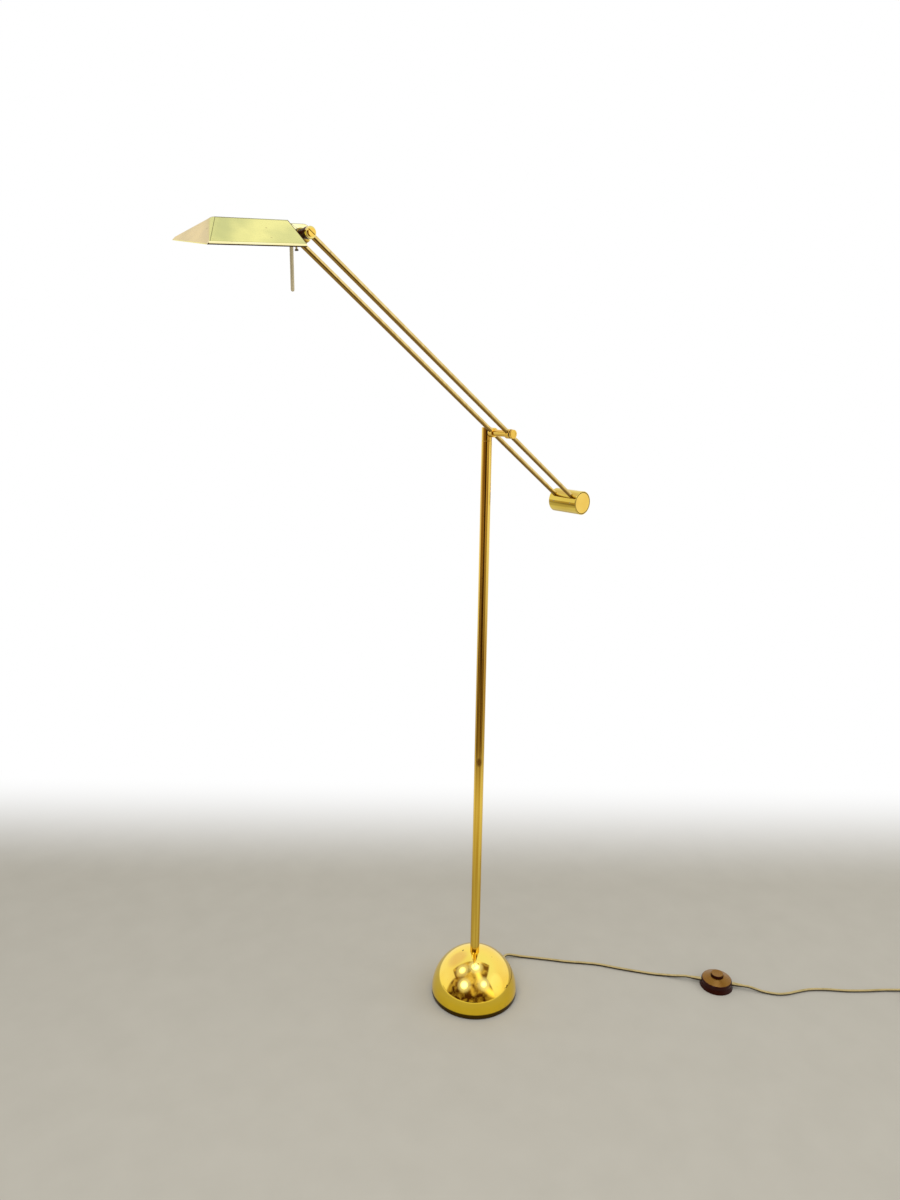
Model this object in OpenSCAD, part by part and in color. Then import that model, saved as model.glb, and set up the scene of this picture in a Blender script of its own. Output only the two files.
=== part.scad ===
// Counterbalance floor lamp: a weighted dome foot, a pole, a swivelling arm of two rods with a
// counterweight, and a small folded shade with a grab handle. A cord with a foot switch lies on the floor.
// Millimetres, +Z up, origin in the middle of the foot's underside. The shade points to -X and the
// counterweight to +X; distances called "out" are measured from the pole along the axle, to -Y.

/* [Base] */
// Outer diameter of the dome foot
base_d = 168; // [150:1:200]
// Height of the dome's centre above the floor
base_skirt = 9; // [6:0.5:10]
// Sheet thickness of the dome
base_wall = 1.5; // [1:0.1:2.5]
// Thickness of the felt ring under the foot
felt_t = 2.5; // [1:0.1:4]
// Radial width of the felt ring
felt_w = 18; // [8:1:40]
// Thickness of the bottom plate
plate_t = 4; // [2.5:0.1:6]
// Diameter of the circle that the bottom plate's screws stand on
plate_screw_pcd = 100; // [70:1:120]
// Diameter of the bottom plate's screws
plate_screw_d = 4; // [3:0.5:5]
// Length of the bottom plate's screws
plate_screw_len = 14; // [10:1:18]
// Height of the cast ballast disc
ballast_h = 26; // [20:1:30]
// Depth of the recess under the ballast for the nut
ballast_recess = 15; // [12:1:17]
// Outer diameter of the ring transformer
transformer_d = 92; // [70:1:100]
// Diameter of the hole through the transformer
transformer_hole = 34; // [26:1:40]
// Height of the ring transformer
transformer_h = 32; // [20:1:36]
// Diameter of the dish that clamps the transformer
dish_d = 68; // [50:1:80]
// Thickness of the clamp dish
dish_t = 2; // [1:0.1:3]
// Outer diameter of the spacer above the clamp dish
spacer_d = 20; // [14:1:24]
// Diameter of the hollow tie rod that holds the foot together
tie_d = 10; // [8:0.5:11]
// Bore of the tie rod and of the swivel stud, for the lead
lead_bore = 5.2; // [4.8:0.1:5.6]
// Height of the tie nut, flange included
tie_nut_h = 9; // [6:0.5:10]
// Width of the tie nut across its flats
tie_nut_flats = 17; // [15:0.5:20]
// Thickness of the tie nut's flange
tie_flange_t = 2; // [1:0.1:3]
// Diameter of the tie nut's flange
tie_flange_d = 26; // [22:1:30]

/* [Pole] */
// Outer diameter of the pole, the swivel collar included
pole_d = 18; // [17:0.5:22]
// Wall of the pole tube
pole_wall = 1.5; // [1:0.1:2]
// Flat seat on the dome, wider than the pole by this much all round
seat_margin = 1; // [0.5:0.1:3]
// Length of the plug in the pole's lower end
foot_plug_len = 25; // [18:1:40]
// Length of the bush in the pole's upper end
top_bush_len = 30; // [20:1:45]
// Diameter of the swivel stud
stud_d = 8; // [7.4:0.1:9]
// Length of stud screwed into the collar
stud_seat = 8; // [5:0.5:9]
// Length of stud below the bush, for the clip
stud_tail = 4; // [3:0.5:8]
// Thickness of the swivel washer
swivel_washer_t = 0.8; // [0.5:0.1:2]
// Thickness of the clip that holds the stud
clip_t = 1.2; // [0.8:0.1:2]
// Diameter of the lead inside the pole
lead_d = 4; // [3:0.1:4.5]

/* [Pivot] */
// Height of the axle above the floor
axle_h = 1104; // [900:1:1300]
// Swivel collar below the axle
collar_below = 14; // [13.5:0.5:20]
// Swivel collar above the axle
collar_above = 8; // [7:0.5:14]
// Diameter of the axle
axle_d = 8; // [7:0.1:8.4]
// Length of axle inside the collar, past the pole's middle
axle_seat = 5; // [3:0.5:7]
// Depth of the flat milled on the collar for the first washer
collar_flat = 0.6; // [0.3:0.1:1]
// Diameter of the grub screw that locks the axle
axle_grub_d = 4; // [3:0.5:5]
// Diameter of the hubs that carry the rods
hub_d = 16; // [15:0.5:20]
// Length of each hub along the axle
hub_len = 10; // [9:0.5:14]
// Diameter of the spacer between the hubs
hub_spacer_d = 11; // [9.5:0.5:14]
// Thickness of each friction washer
friction_t = 0.8; // [0.4:0.1:1.5]
// Diameter of each friction washer
friction_d = 15; // [12:0.5:18]
// Diameter of the clamp knob
knob_d = 15; // [13:0.5:24]
// Thickness of the clamp knob
knob_t = 4.5; // [3:0.5:10]
// Number of grooves around the clamp knob
knob_grooves = 24; // [12:1:36]
// Diameter of each groove
knob_groove_d = 0.9; // [0.5:0.1:1.2]

/* [Arm] */
// Angle of the arm above level, at rest
arm_rise = 35.5; // [20:0.5:50]
// Distance between the two rods
rod_spacing = 39; // [34:0.5:60]
// Outer diameter of the rods
rod_d = 8; // [7:0.1:8.6]
// Wall of the rods
rod_wall = 1; // [0.6:0.1:1.5]
// Length of rod that sits in each hub
rod_seat = 2.5; // [1.5:0.1:2.6]
// Distance from the axle to the head's axle
head_reach = 470; // [350:1:700]
// Distance from the axle to the counterweight's middle
weight_reach = 223; // [150:1:350]

/* [Counterweight] */
// Diameter of the counterweight
weight_d = 42.5; // [32:0.5:60]
// Length of the counterweight
weight_len = 63; // [56:0.5:90]
// Depth of the rods in the counterweight
weight_seat = 10; // [6:0.5:14]
// Diameter of the end caps
cap_d = 38.5; // [24:0.5:39]
// Thickness of the end caps
cap_t = 1.5; // [1:0.1:3]
// Diameter of the grub screws that hold the rods
weight_grub_d = 4; // [3:0.5:5]
// Length of those grub screws
weight_grub_len = 8; // [5:0.5:10]

/* [Head] */
// Angle of the shade's outer end below level, at rest
shade_dip = 4; // [-20:0.5:30]
// Angle of the shade about its long axis, at rest
shade_roll = 8; // [-30:0.5:30]
// Diameter of the head's axle
head_axle_d = 6; // [5:0.1:7]
// Diameter of the slotted head on the axle's near end
head_bolt_d = 11; // [8:0.5:14]
// Thickness of that slotted head
head_bolt_t = 2.2; // [1.5:0.1:4]
// Width of the slot
head_slot_w = 1.4; // [0.8:0.1:2]
// Depth of the slot
head_slot_deep = 1.1; // [0.6:0.1:1.4]
// Height of the neck's tongue, round at its rear end
neck_d = 24; // [18:0.5:28]
// Width of the neck's tongue
neck_w = 16; // [13:0.5:18]
// Diameter of the black bushes beside the tongue
neck_bush_d = 14; // [10:0.5:15.5]
// Diameter of the lock screw under the neck
neck_screw_d = 4; // [3:0.5:4.5]
// Length of the lock screw that shows
neck_screw_len = 9; // [5:0.5:12]
// Distance from the head's axle to the shade's rear plate
neck_reach = 20; // [18:0.5:30]
// Diameter of the hollow stem that carries the shade
stem_d = 10; // [8:0.5:11]
// Bore of the stem
stem_bore = 6; // [4:0.5:6.5]
// Length of stem inside the neck
stem_seat = 10.5; // [6:0.5:12]
// Thickness of the stem nut's flange
stem_flange_t = 0.8; // [0.5:0.1:2]
// Diameter of the stem nut's flange
stem_flange_d = 17; // [16:0.5:20]
// Width of the stem nut across its flats
stem_nut_flats = 14; // [13:0.5:17]
// Thickness of the stem nut
stem_nut_t = 4; // [3:0.5:6]
// Diameter of the grab handle
handle_d = 5; // [4:0.1:5.4]
// Length of the grab handle below the neck's middle
handle_len = 72; // [45:1:120]
// Length of handle screwed into the neck
handle_seat = 5; // [3:0.1:6]
// Angle of the handle to the neck, its lower end forwards
handle_lean = 4; // [0:0.5:5]

/* [Shade] */
// Length of the shade
shade_len = 140; // [115:1:220]
// Width of the shade
shade_w = 90; // [80:1:130]
// Height of the shade, lip included
shade_h = 30.5; // [28:0.5:50]
// Height of the upright lip along the two long lower edges
shade_lip = 4; // [2:0.5:8]
// Height of the upright lip at the outer end
shade_end_lip = 1; // [0.5:0.1:4]
// Length of the sloping outer end, along the shade
shade_hip = 29; // [18:1:60]
// Sheet thickness of the shade
shade_wall = 1; // [0.8:0.1:1.2]
// Height of the stem above the shade's lower edge
stem_height = 14; // [12.5:0.5:15]

/* [Lamp] */
// Diameter of the lampholder
holder_d = 16; // [14:0.5:17]
// Length of the lampholder
holder_len = 17; // [14:0.5:22]
// Length of stem inside the lampholder
holder_seat = 5; // [3:0.5:7]
// Diameter of the bulb
bulb_d = 12; // [10:0.5:14]
// Length of the bulb's glass
bulb_len = 38; // [30:1:46]
// Distance between the bulb's pins
pin_pitch = 6.35; // [5:0.05:7]
// Diameter of the bulb's pins
pin_d = 1.2; // [1:0.05:1.4]
// Length of the bulb's pins in the lampholder
pin_seat = 7; // [5:0.5:9]

/* [Foot switch] */
// Diameter of the foot switch where its halves meet
switch_d = 60; // [54:1:80]
// Flare of the switch's lower half, on the radius
switch_flare = 3; // [0.5:0.5:5]
// Height of the switch's lower half
switch_base_h = 8.5; // [8:0.5:10]
// Height of the switch's upper half, in its middle
switch_cover_h = 13.5; // [12:0.5:16]
// Slope of the cover's top, in degrees down from the button to the rim
cover_slope = 22; // [12:1:26]
// Wall of the switch's halves
switch_wall = 2.5; // [2:0.1:3]
// Diameter of the push button
button_d = 24; // [18:0.5:30]
// Travel of the push button
button_travel = 3; // [2:0.1:3.4]
// Height of the button above the cover
button_proud = 6; // [3.6:0.1:7]
// Diameter of the switch's screws
switch_screw_d = 3; // [2.5:0.1:3.4]
// Distance of the screws from the middle
switch_screw_out = 21; // [19:0.5:23]

/* [Cord] */
// Diameter of the cord
cord_d = 5.5; // [5:0.1:6]
// Diameter of the coil at the middle of its turns
coil_d = 66; // [60:1:72]
// Number of turns in the coil, in two layers
coil_turns = 7; // [5:2:9]
// Gap between neighbouring turns
coil_gap = 0.6; // [0.5:0.05:1]
// Thickness of the tie around the coil
tie_t = 0.8; // [0.5:0.1:1.5]
// Width of the tie
tie_w = 8; // [5:0.5:15]
// Length of the strain relief at the foot
gland_len = 25; // [20:1:40]
// Diameter of that strain relief at the foot
gland_d = 11; // [10.5:0.5:12]
// Diameter of the hole in the dome for the cord
gland_hole = 9; // [8:0.5:10]
// Height of the cord's exit above the floor
gland_h = 9.5; // [9:0.5:20]
// Length of the strain reliefs on the switch
relief_len = 20; // [20:1:40]
// Diameter of the switch's strain reliefs
relief_d = 9.2; // [8.6:0.2:11]

/* [Plug] */
// Thickness of the plug
plug_t = 14; // [13:0.5:20]
// Width of the plug
plug_w = 26; // [25:0.5:34]
// Length of the plug's body
plug_len = 34; // [28:1:45]
// Length of the plug's strain relief
plug_relief = 22; // [20:1:35]
// Diameter of the plug's pins
plug_pin_d = 4; // [3.6:0.1:4.8]
// Length of pin that shows
plug_pin_len = 19; // [15:0.5:22]
// Distance between the plug's pins
plug_pin_pitch = 18.6; // [17:0.1:19.2]

/* [Clearances] */
// Radial clearance where one piece turns on another
run_gap = 0.05; // [0.02:0.01:0.1]
// Clearance between pieces that are pressed or screwed together
fit_gap = 0.03; // [0.01:0.01:0.1]
// Clearance between flat faces that slide
face_gap = 0.1; // [0.05:0.01:0.3]
// Clearance around loosely fitted pieces
loose_gap = 0.3; // [0.2:0.05:0.5]

/* [Hidden] */
$fn = 64;

brass = "#d8b24a";
steel = "#8f9296";
black_plastic = "#1d1a18";
brown_plastic = "#3a2110";
cord_gold = "#9a8a4c";

// Levels and radii of the foot
dome_r = base_d / 2;
dome_in = dome_r - base_wall;
function dome_inner_r(z) = z <= base_skirt ? dome_in : sqrt(pow(dome_in, 2) - pow(z - base_skirt, 2));
pole_r = pole_d / 2;
pole_bore_r = pole_r - pole_wall;
seat_r = pole_r + seat_margin;
dome_top = base_skirt + sqrt(pow(dome_r, 2) - pow(seat_r, 2));
ballast_z = felt_t + plate_t;
ballast_top = ballast_z + ballast_h;
transformer_top = ballast_top + transformer_h;
dish_top = transformer_top + dish_t;
plate_r = dome_inner_r(ballast_z) - loose_gap;
ballast_r = dome_inner_r(ballast_top) - loose_gap;
tie_hole_r = tie_d / 2 + fit_gap;
recess_r = tie_flange_d / 2 + 2;
recess_top = ballast_z + ballast_recess;
tie_low = recess_top - tie_nut_h - 1.5;
tie_high = dome_top + foot_plug_len - 4;
gland_angle = 14;

// Levels of the pole and the swivel
collar_low = axle_h - collar_below;
collar_high = axle_h + collar_above;
pole_top = collar_low - swivel_washer_t - 2 * face_gap;
bush_low = pole_top - top_bush_len;
stud_low = bush_low - stud_tail;
stud_high = collar_low + stud_seat;
stud_r = stud_d / 2;
axle_r = axle_d / 2;

// Places along the axle, outwards from the pole's middle
flat_out = pole_r - collar_flat;
washer_far_out = flat_out + face_gap;
hub_far_in = washer_far_out + friction_t + face_gap;
rod_far_out = hub_far_in + hub_len / 2;
hub_far_out = hub_far_in + hub_len;
rod_near_out = rod_far_out + rod_spacing;
hub_near_in = rod_near_out - hub_len / 2;
hub_near_out = rod_near_out + hub_len / 2;
washer_near_out = hub_near_out + face_gap;
knob_in = washer_near_out + friction_t + face_gap;
knob_out = knob_in + knob_t;
middle_out = (rod_far_out + rod_near_out) / 2;

// Radii of the arm's pieces
hub_r = hub_d / 2;
rod_r = rod_d / 2;
socket_r = rod_r + fit_gap;
socket_in = hub_r - rod_seat;
weight_r = weight_d / 2;
weight_rod_end = weight_reach - weight_r + weight_seat;
head_axle_r = head_axle_d / 2;

// Places along the neck and the shade, forwards from the head's axle
neck_face = neck_reach - loose_gap;
stem_back = neck_face - stem_seat;
plate_front = neck_reach + shade_wall;
stem_nut_in = plate_front + face_gap;
holder_in = stem_nut_in + stem_flange_t + stem_nut_t + 1;
stem_front = holder_in + holder_seat;
holder_out = holder_in + holder_len;
bulb_in = holder_out + 1;
neck_r = neck_d / 2;
handle_forward = neck_face - handle_d / 2 - 1;
neck_screw_forward = neck_face / 2 - 1;
neck_screw_seat = 5;

// Shade section, with the stem at zero height
shade_low = -stem_height;
shade_top = shade_low + shade_h;
roof_angle = atan((shade_h - shade_lip) / (shade_w / 2));
hip_angle = atan((shade_h - shade_end_lip) / shade_hip);

// Foot switch on the floor
switch_at = [387, -308];
switch_heading = -56;
switch_r = switch_d / 2;
switch_h = switch_base_h + switch_cover_h;
cord_r = cord_d / 2;
relief_h = switch_base_h;
relief_out = switch_r + face_gap;
relief_end = relief_out + relief_len;
button_r = button_d / 2;
button_flange_r = button_r + 2.5;
button_flange_top = switch_h - switch_wall - loose_gap;
mechanism_top = button_flange_top - button_travel - 4.8;

// Coil on the floor, past the cord's visible run
coil_start = [682, -590];
coil_heading = -45;
coil_lift = tie_t + 0.5;
coil_pitch = cord_d + coil_gap;
coil_half = coil_turns / 2;
coil_inner = coil_d / 2 - coil_half * coil_pitch / 2;
coil_outer = coil_d / 2 + coil_half * coil_pitch / 2;
coil_z_low = coil_lift + cord_r;
coil_z_high = coil_z_low + coil_pitch;
coil_along = [cos(coil_heading), sin(coil_heading)];
coil_across = [sin(coil_heading), -cos(coil_heading)];
coil_center = coil_start + cord_d * coil_along + coil_outer * coil_across;
loop_rings = 24;
loop_sides = 6;
run_sides = 8;

// Plug beside the coil
plug_z = plug_t / 2;
plug_at = [722, -630];
plug_heading = -45;

// Places where the cord meets the foot, the switch, the coil and the plug
gland_face = dome_r + face_gap + gland_len;
base_exit = [gland_face * cos(gland_angle), gland_face * sin(gland_angle), gland_h];
base_exit_on = base_exit + cord_d * [cos(gland_angle), sin(gland_angle), 0];
base_exit_past = base_exit + 2.2 * cord_d * [cos(gland_angle), sin(gland_angle), 0];
switch_along = [cos(switch_heading), sin(switch_heading)];
switch_in = [each switch_at - relief_end * switch_along, relief_h];
switch_in_on = [each switch_at - (relief_end + cord_d) * switch_along, relief_h];
switch_in_past = [each switch_at - (relief_end + 2.2 * cord_d) * switch_along, relief_h];
switch_out = [each switch_at + relief_end * switch_along, relief_h];
switch_out_on = [each switch_at + (relief_end + cord_d) * switch_along, relief_h];
switch_out_past = [each switch_at + (relief_end + 2.2 * cord_d) * switch_along, relief_h];
coil_in = [each coil_start, coil_z_low];
coil_in_on = [each coil_start - cord_d * coil_along, coil_z_low];
coil_out = [each coil_start + 2 * cord_d * coil_along, coil_z_high];
coil_out_on = [each coil_start + 3 * cord_d * coil_along, coil_z_high];
plug_along = [cos(plug_heading), sin(plug_heading)];
plug_in = [each plug_at, plug_z];
plug_in_on = [each plug_at - cord_d * plug_along, plug_z];

// Route of the cord from the foot to the switch
base_route = [
    base_exit, base_exit_on, base_exit_past,
    [127, 28.5, 7.6], [138, 21.5, 4.8], [149, 10, 3.1], [163, -6, 2.8], [185, -33, 2.8], [208, -62, 2.8],
    [232, -88, 2.8], [253, -113, 2.8], [273, -145, 2.8], [295, -178, 2.8], [315, -206, 2.8],
    [330, -224, 3.2], [341, -240.5, 5.4],
    switch_in_past, switch_in_on, switch_in
];
// Route of the cord from the switch to the coil
plug_route = [
    switch_out, switch_out_on, switch_out_past,
    [428.5, -370, 6.4], [435.5, -381, 3.9], [443.5, -393, 2.9], [455, -407.5, 2.8], [471, -419, 2.8],
    [492, -429, 2.8], [516, -442, 2.8], [541, -463, 2.8], [569, -492, 2.8], [598, -517, 2.8],
    [627, -539, 2.8], [652, -561, 3.2], [666, -574, 3.8],
    coil_in_on, coil_in
];
// Route of the cord from the coil to the plug
tail_route = [coil_out, coil_out_on, [706, -614, 9], plug_in_on, plug_in];

// Smooth curve through points: each stretch is a cubic that passes both ends with even tangents
function curve_at(a, b, c, d, t) =
    b + 0.5 * t * (c - a + t * (2 * a - 5 * b + 4 * c - d + t * (3 * (b - c) + d - a)));
function smooth(p, steps) = [
    for (i = [0:len(p) - 2])
        let (a = p[max(i - 1, 0)], d = p[min(i + 2, len(p) - 1)])
            for (s = [0:steps - 1]) curve_at(a, p[i], p[i + 1], d, s / steps),
    p[len(p) - 1]
];
function unit(v) = v / norm(v);
function heading(p, i) = unit(p[min(i + 1, len(p) - 1)] - p[max(i - 1, 0)]);
function tube_ring(p, i, r, sides) =
    let (t = heading(p, i), side = unit(cross(t, [0, 0, 1])), up = cross(side, t))
        [for (k = [0:sides - 1]) p[i] + r * (cos(360 * k / sides) * side + sin(360 * k / sides) * up)];

// Round tube swept along points, closed by flat ends
module tube(p, r, sides) {
    last = (len(p) - 1) * sides;
    points = [for (i = [0:len(p) - 1]) each tube_ring(p, i, r, sides)];
    walls = [
        for (i = [0:len(p) - 2], k = [0:sides - 1])
            let (a = i * sides + k, b = i * sides + (k + 1) % sides)
                each [[a, b, b + sides], [a, b + sides, a + sides]]
    ];
    ends = [
        for (k = [1:sides - 2])
            each [[0, k + 1, k], [last, last + k, last + k + 1]]
    ];
    polyhedron(points, concat(walls, ends));
}

// Coil: the cord spirals in on the floor, climbs in half a turn and spirals out on top
function ease(t) = t <= 0 ? 0 : t >= 1 ? 1 : t * t * (3 - 2 * t);
function coil_point(u) =
    let (
        r = coil_inner + coil_pitch * abs(u - coil_half),
        a = coil_heading + 90 - 360 * u,
        z = coil_z_low + coil_pitch * ease((u - coil_half + 0.25) / 0.5)
    )
        [coil_center[0] + r * cos(a), coil_center[1] + r * sin(a), z];
coil_steps = coil_turns * loop_rings;
coil_path = concat([coil_in], [for (i = [0:coil_steps]) coil_point(i / loop_rings)], [coil_out]);
least_apart = min([
    for (i = [0:coil_steps - loop_rings / 2], j = [i + loop_rings / 2:coil_steps])
        norm(coil_point(i / loop_rings) - coil_point(j / loop_rings))
]);
echo(coil_least_gap = least_apart - cord_d);

// Rod or hole along the axle, between two distances out from the pole
module along_axle(from, to, r) {
    translate([0, -from, 0]) rotate([90, 0, 0]) cylinder(h = to - from, r = r);
}

// Rod or hole along X, from one place to another
module along_x(from, to, r) {
    translate([from, 0, 0]) rotate([0, 90, 0]) cylinder(h = to - from, r = r);
}

// Frames of the moving groups at rest
module at_axle() {
    translate([0, 0, axle_h]) children();
}

module on_arm() {
    at_axle() rotate([0, arm_rise, 0]) children();
}

module on_rod(out) {
    on_arm() translate([0, -out, 0]) children();
}

module at_head() {
    translate([-head_reach * cos(arm_rise), 0, axle_h + head_reach * sin(arm_rise)]) children();
}

module on_neck() {
    at_head() rotate([0, -shade_dip, 0]) translate([0, -middle_out, 0]) children();
}

module on_shade() {
    on_neck() rotate([shade_roll, 0, 0]) children();
}

module at_switch() {
    translate([each switch_at, 0]) rotate([0, 0, switch_heading]) children();
}

module at_plug() {
    translate([each plug_at, plug_z]) rotate([0, 0, plug_heading]) children();
}

module at_gland() {
    rotate([0, 0, gland_angle]) translate([0, 0, gland_h]) children();
}

// Plain ring standing on Z
module ring(low, high, inner, outer) {
    translate([0, 0, low]) difference() {
        cylinder(h = high - low, r = outer);
        translate([0, 0, -1]) cylinder(h = high - low + 2, r = inner);
    }
}

// Half outline of a dome with a straight skirt, cut flat on top
module dome_half(r, low, top) {
    intersection() {
        union() {
            translate([0, base_skirt]) circle(r = r, $fn = 128);
            translate([0, low]) square([r, base_skirt - low]);
        }
        translate([0, low]) square([r + 1, top - low]);
    }
}

// Three places for the bottom plate's screws
module at_plate_screws() {
    for (a = [60, 180, 300]) rotate([0, 0, a]) translate([plate_screw_pcd / 2, 0, felt_t]) children();
}

// Countersunk screw with its head down at zero
module countersunk(d, len) {
    cylinder(h = d / 2, r1 = d, r2 = d / 2);
    cylinder(h = len, r = d / 2);
}

module base_felt() {
    color("#161412") ring(0, felt_t, plate_r - felt_w, plate_r);
}

module base_plate() {
    color(steel) difference() {
        translate([0, 0, felt_t]) cylinder(h = plate_t, r = plate_r);
        at_plate_screws() translate([0, 0, -fit_gap]) countersunk(plate_screw_d + 2 * fit_gap, plate_t + 1);
    }
}

module base_screws() {
    color(steel) at_plate_screws() countersunk(plate_screw_d, plate_screw_len);
}

module base_shell() {
    color(brass) difference() {
        rotate_extrude($fn = 128) difference() {
            dome_half(dome_r, felt_t, dome_top);
            dome_half(dome_in, felt_t - 1, dome_top - base_wall);
            square([tie_hole_r, dome_top + 1]);
        }
        at_gland() along_x(dome_in - 5, dome_r + 5, gland_hole / 2);
    }
}

module ballast() {
    color("#3c3a38") difference() {
        translate([0, 0, ballast_z]) cylinder(h = ballast_h, r = ballast_r);
        translate([0, 0, ballast_z - 1]) cylinder(h = ballast_recess + 1, r = recess_r);
        cylinder(h = ballast_top + 1, r = tie_hole_r);
        at_gland() translate([ballast_r - 12, -gland_hole / 2, -gland_hole / 2])
            cube([20, gland_hole, ballast_top]);
        at_plate_screws() cylinder(h = plate_screw_len + 1, r = plate_screw_d / 2 + fit_gap);
    }
}

module transformer() {
    edge = 4;
    color("#b5652f") rotate_extrude($fn = 96) difference() {
        translate([transformer_hole / 2, ballast_top])
            square([(transformer_d - transformer_hole) / 2, transformer_h]);
        for (x = [transformer_hole / 2, transformer_d / 2], z = [ballast_top, transformer_top])
            translate([x, z]) rotate(45) square(edge, center = true);
    }
}

module clamp_dish() {
    color(steel) ring(transformer_top, dish_top, tie_hole_r, dish_d / 2);
}

module spacer_tube() {
    color(steel) ring(dish_top, dome_top - base_wall, tie_hole_r, spacer_d / 2);
}

module tie_rod() {
    color(steel) ring(tie_low, tie_high, lead_bore / 2, tie_d / 2);
}

module tie_nut() {
    hex_h = tie_nut_h - tie_flange_t;
    color(steel) difference() {
        union() {
            translate([0, 0, recess_top - tie_flange_t]) cylinder(h = tie_flange_t, r = tie_flange_d / 2);
            translate([0, 0, recess_top - tie_nut_h])
                cylinder(h = hex_h, r = tie_nut_flats / 2 / cos(30), $fn = 6);
        }
        cylinder(h = dome_top, r = tie_hole_r);
    }
}

module cord_gland() {
    inside = plate_r + face_gap;
    color(cord_gold) at_gland() {
        along_x(inside, dome_r + face_gap, gland_hole / 2 - fit_gap);
        translate([dome_r + face_gap, 0, 0]) rotate([0, 90, 0])
            cylinder(h = gland_len, r1 = gland_d / 2, r2 = cord_r + 1);
    }
}

module pole_foot_plug() {
    color(brass) ring(dome_top, dome_top + foot_plug_len, tie_hole_r, pole_bore_r - fit_gap);
}

module pole_tube() {
    color(brass) ring(dome_top, pole_top, pole_bore_r, pole_r);
}

module pole_top_bush() {
    color(brass) ring(bush_low, pole_top, stud_r + run_gap, pole_bore_r - fit_gap);
}

module pole_lead() {
    color("#c9c2a8") translate([0, 0, tie_low]) cylinder(h = stud_high - tie_low, r = lead_d / 2);
}

module swivel_washer() {
    washer_low = pole_top + face_gap;
    color(black_plastic)
        ring(washer_low, washer_low + swivel_washer_t, stud_r + loose_gap, pole_r - loose_gap);
}

module swivel_collar() {
    color(brass) difference() {
        translate([0, 0, collar_low]) cylinder(h = collar_below + collar_above, r = pole_r);
        translate([0, 0, collar_low - 1]) cylinder(h = stud_seat + 1, r = stud_r + fit_gap);
        at_axle() along_axle(-axle_seat, pole_r + 1, axle_r + fit_gap);
        at_axle() cylinder(h = collar_above + 1, r = axle_grub_d / 2 + fit_gap);
        at_axle() translate([-pole_r, -pole_r - 1, -friction_d / 2 - loose_gap])
            cube([pole_d, collar_flat + 1, friction_d + collar_above]);
    }
}

module swivel_stud() {
    color(steel) ring(stud_low, stud_high, lead_bore / 2, stud_r);
}

module swivel_clip() {
    clip_top = bush_low - loose_gap;
    color(steel) ring(clip_top - clip_t, clip_top, stud_r + fit_gap, pole_bore_r - 1);
}

module axle() {
    color(brass) at_axle() along_axle(-axle_seat + fit_gap, knob_out - loose_gap, axle_r);
}

module axle_grub() {
    color(steel) translate([0, 0, axle_h + axle_r + fit_gap])
        cylinder(h = collar_above - axle_r - 0.6, r = axle_grub_d / 2);
}

module friction_washers() {
    color(black_plastic) on_arm() for (out = [washer_far_out, washer_near_out])
        difference() {
            along_axle(out, out + friction_t, friction_d / 2);
            along_axle(out - 1, out + friction_t + 1, axle_r + run_gap);
        }
}

// Short barrel on the axle with sockets for a rod; sides lists the directions that rods leave in
module hub(bore_r, sides) {
    difference() {
        along_axle(-hub_len / 2, hub_len / 2, hub_r);
        along_axle(-hub_len, hub_len, bore_r);
        for (side = sides) rotate([0, 90 * side, 0])
            translate([0, 0, socket_in]) cylinder(h = hub_r, r = socket_r);
    }
}

module hub_far() {
    color(brass) on_rod(rod_far_out) hub(axle_r + run_gap, [-1, 1]);
}

module hub_near() {
    color(brass) on_rod(rod_near_out) hub(axle_r + run_gap, [-1, 1]);
}

module hub_spacer() {
    color(brass) on_arm() difference() {
        along_axle(hub_far_out, hub_near_in, hub_spacer_d / 2);
        along_axle(hub_far_out - 1, hub_near_in + 1, axle_r + run_gap);
    }
}

// Tube between two places along the arm
module rod(from, to) {
    difference() {
        along_x(from, to, rod_r);
        along_x(from - 1, to + 1, rod_r - rod_wall);
    }
}

module upper_rod(out) {
    color(brass) on_rod(out) rod(-head_reach + socket_in + fit_gap, -socket_in - fit_gap);
}

module lower_rod(out) {
    color(brass) on_rod(out) rod(socket_in + fit_gap, weight_rod_end - fit_gap);
}

module upper_rod_far() {
    upper_rod(rod_far_out);
}

module upper_rod_near() {
    upper_rod(rod_near_out);
}

module lower_rod_far() {
    lower_rod(rod_far_out);
}

module lower_rod_near() {
    lower_rod(rod_near_out);
}

module head_hub(out) {
    color(brass) on_rod(out) translate([-head_reach, 0, 0]) hub(head_axle_r + fit_gap, [1]);
}

module head_hub_far() {
    head_hub(rod_far_out);
}

module head_hub_near() {
    head_hub(rod_near_out);
}

module head_axle() {
    color(brass) at_head() difference() {
        union() {
            along_axle(hub_far_in - head_bolt_t, hub_far_in - fit_gap, head_axle_r + 1.5);
            along_axle(hub_far_in - head_bolt_t, hub_near_out + head_bolt_t, head_axle_r);
            along_axle(hub_near_out + fit_gap, hub_near_out + head_bolt_t, head_bolt_d / 2);
        }
        rotate([0, arm_rise, 0])
            translate([-head_bolt_d, -hub_near_out - head_bolt_t - 1, -head_slot_w / 2])
                cube([2 * head_bolt_d, head_slot_deep + 1, head_slot_w]);
    }
}

// Frame at the counterweight's middle
module at_weight() {
    on_arm() translate([weight_reach, -middle_out, 0]) children();
}

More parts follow.
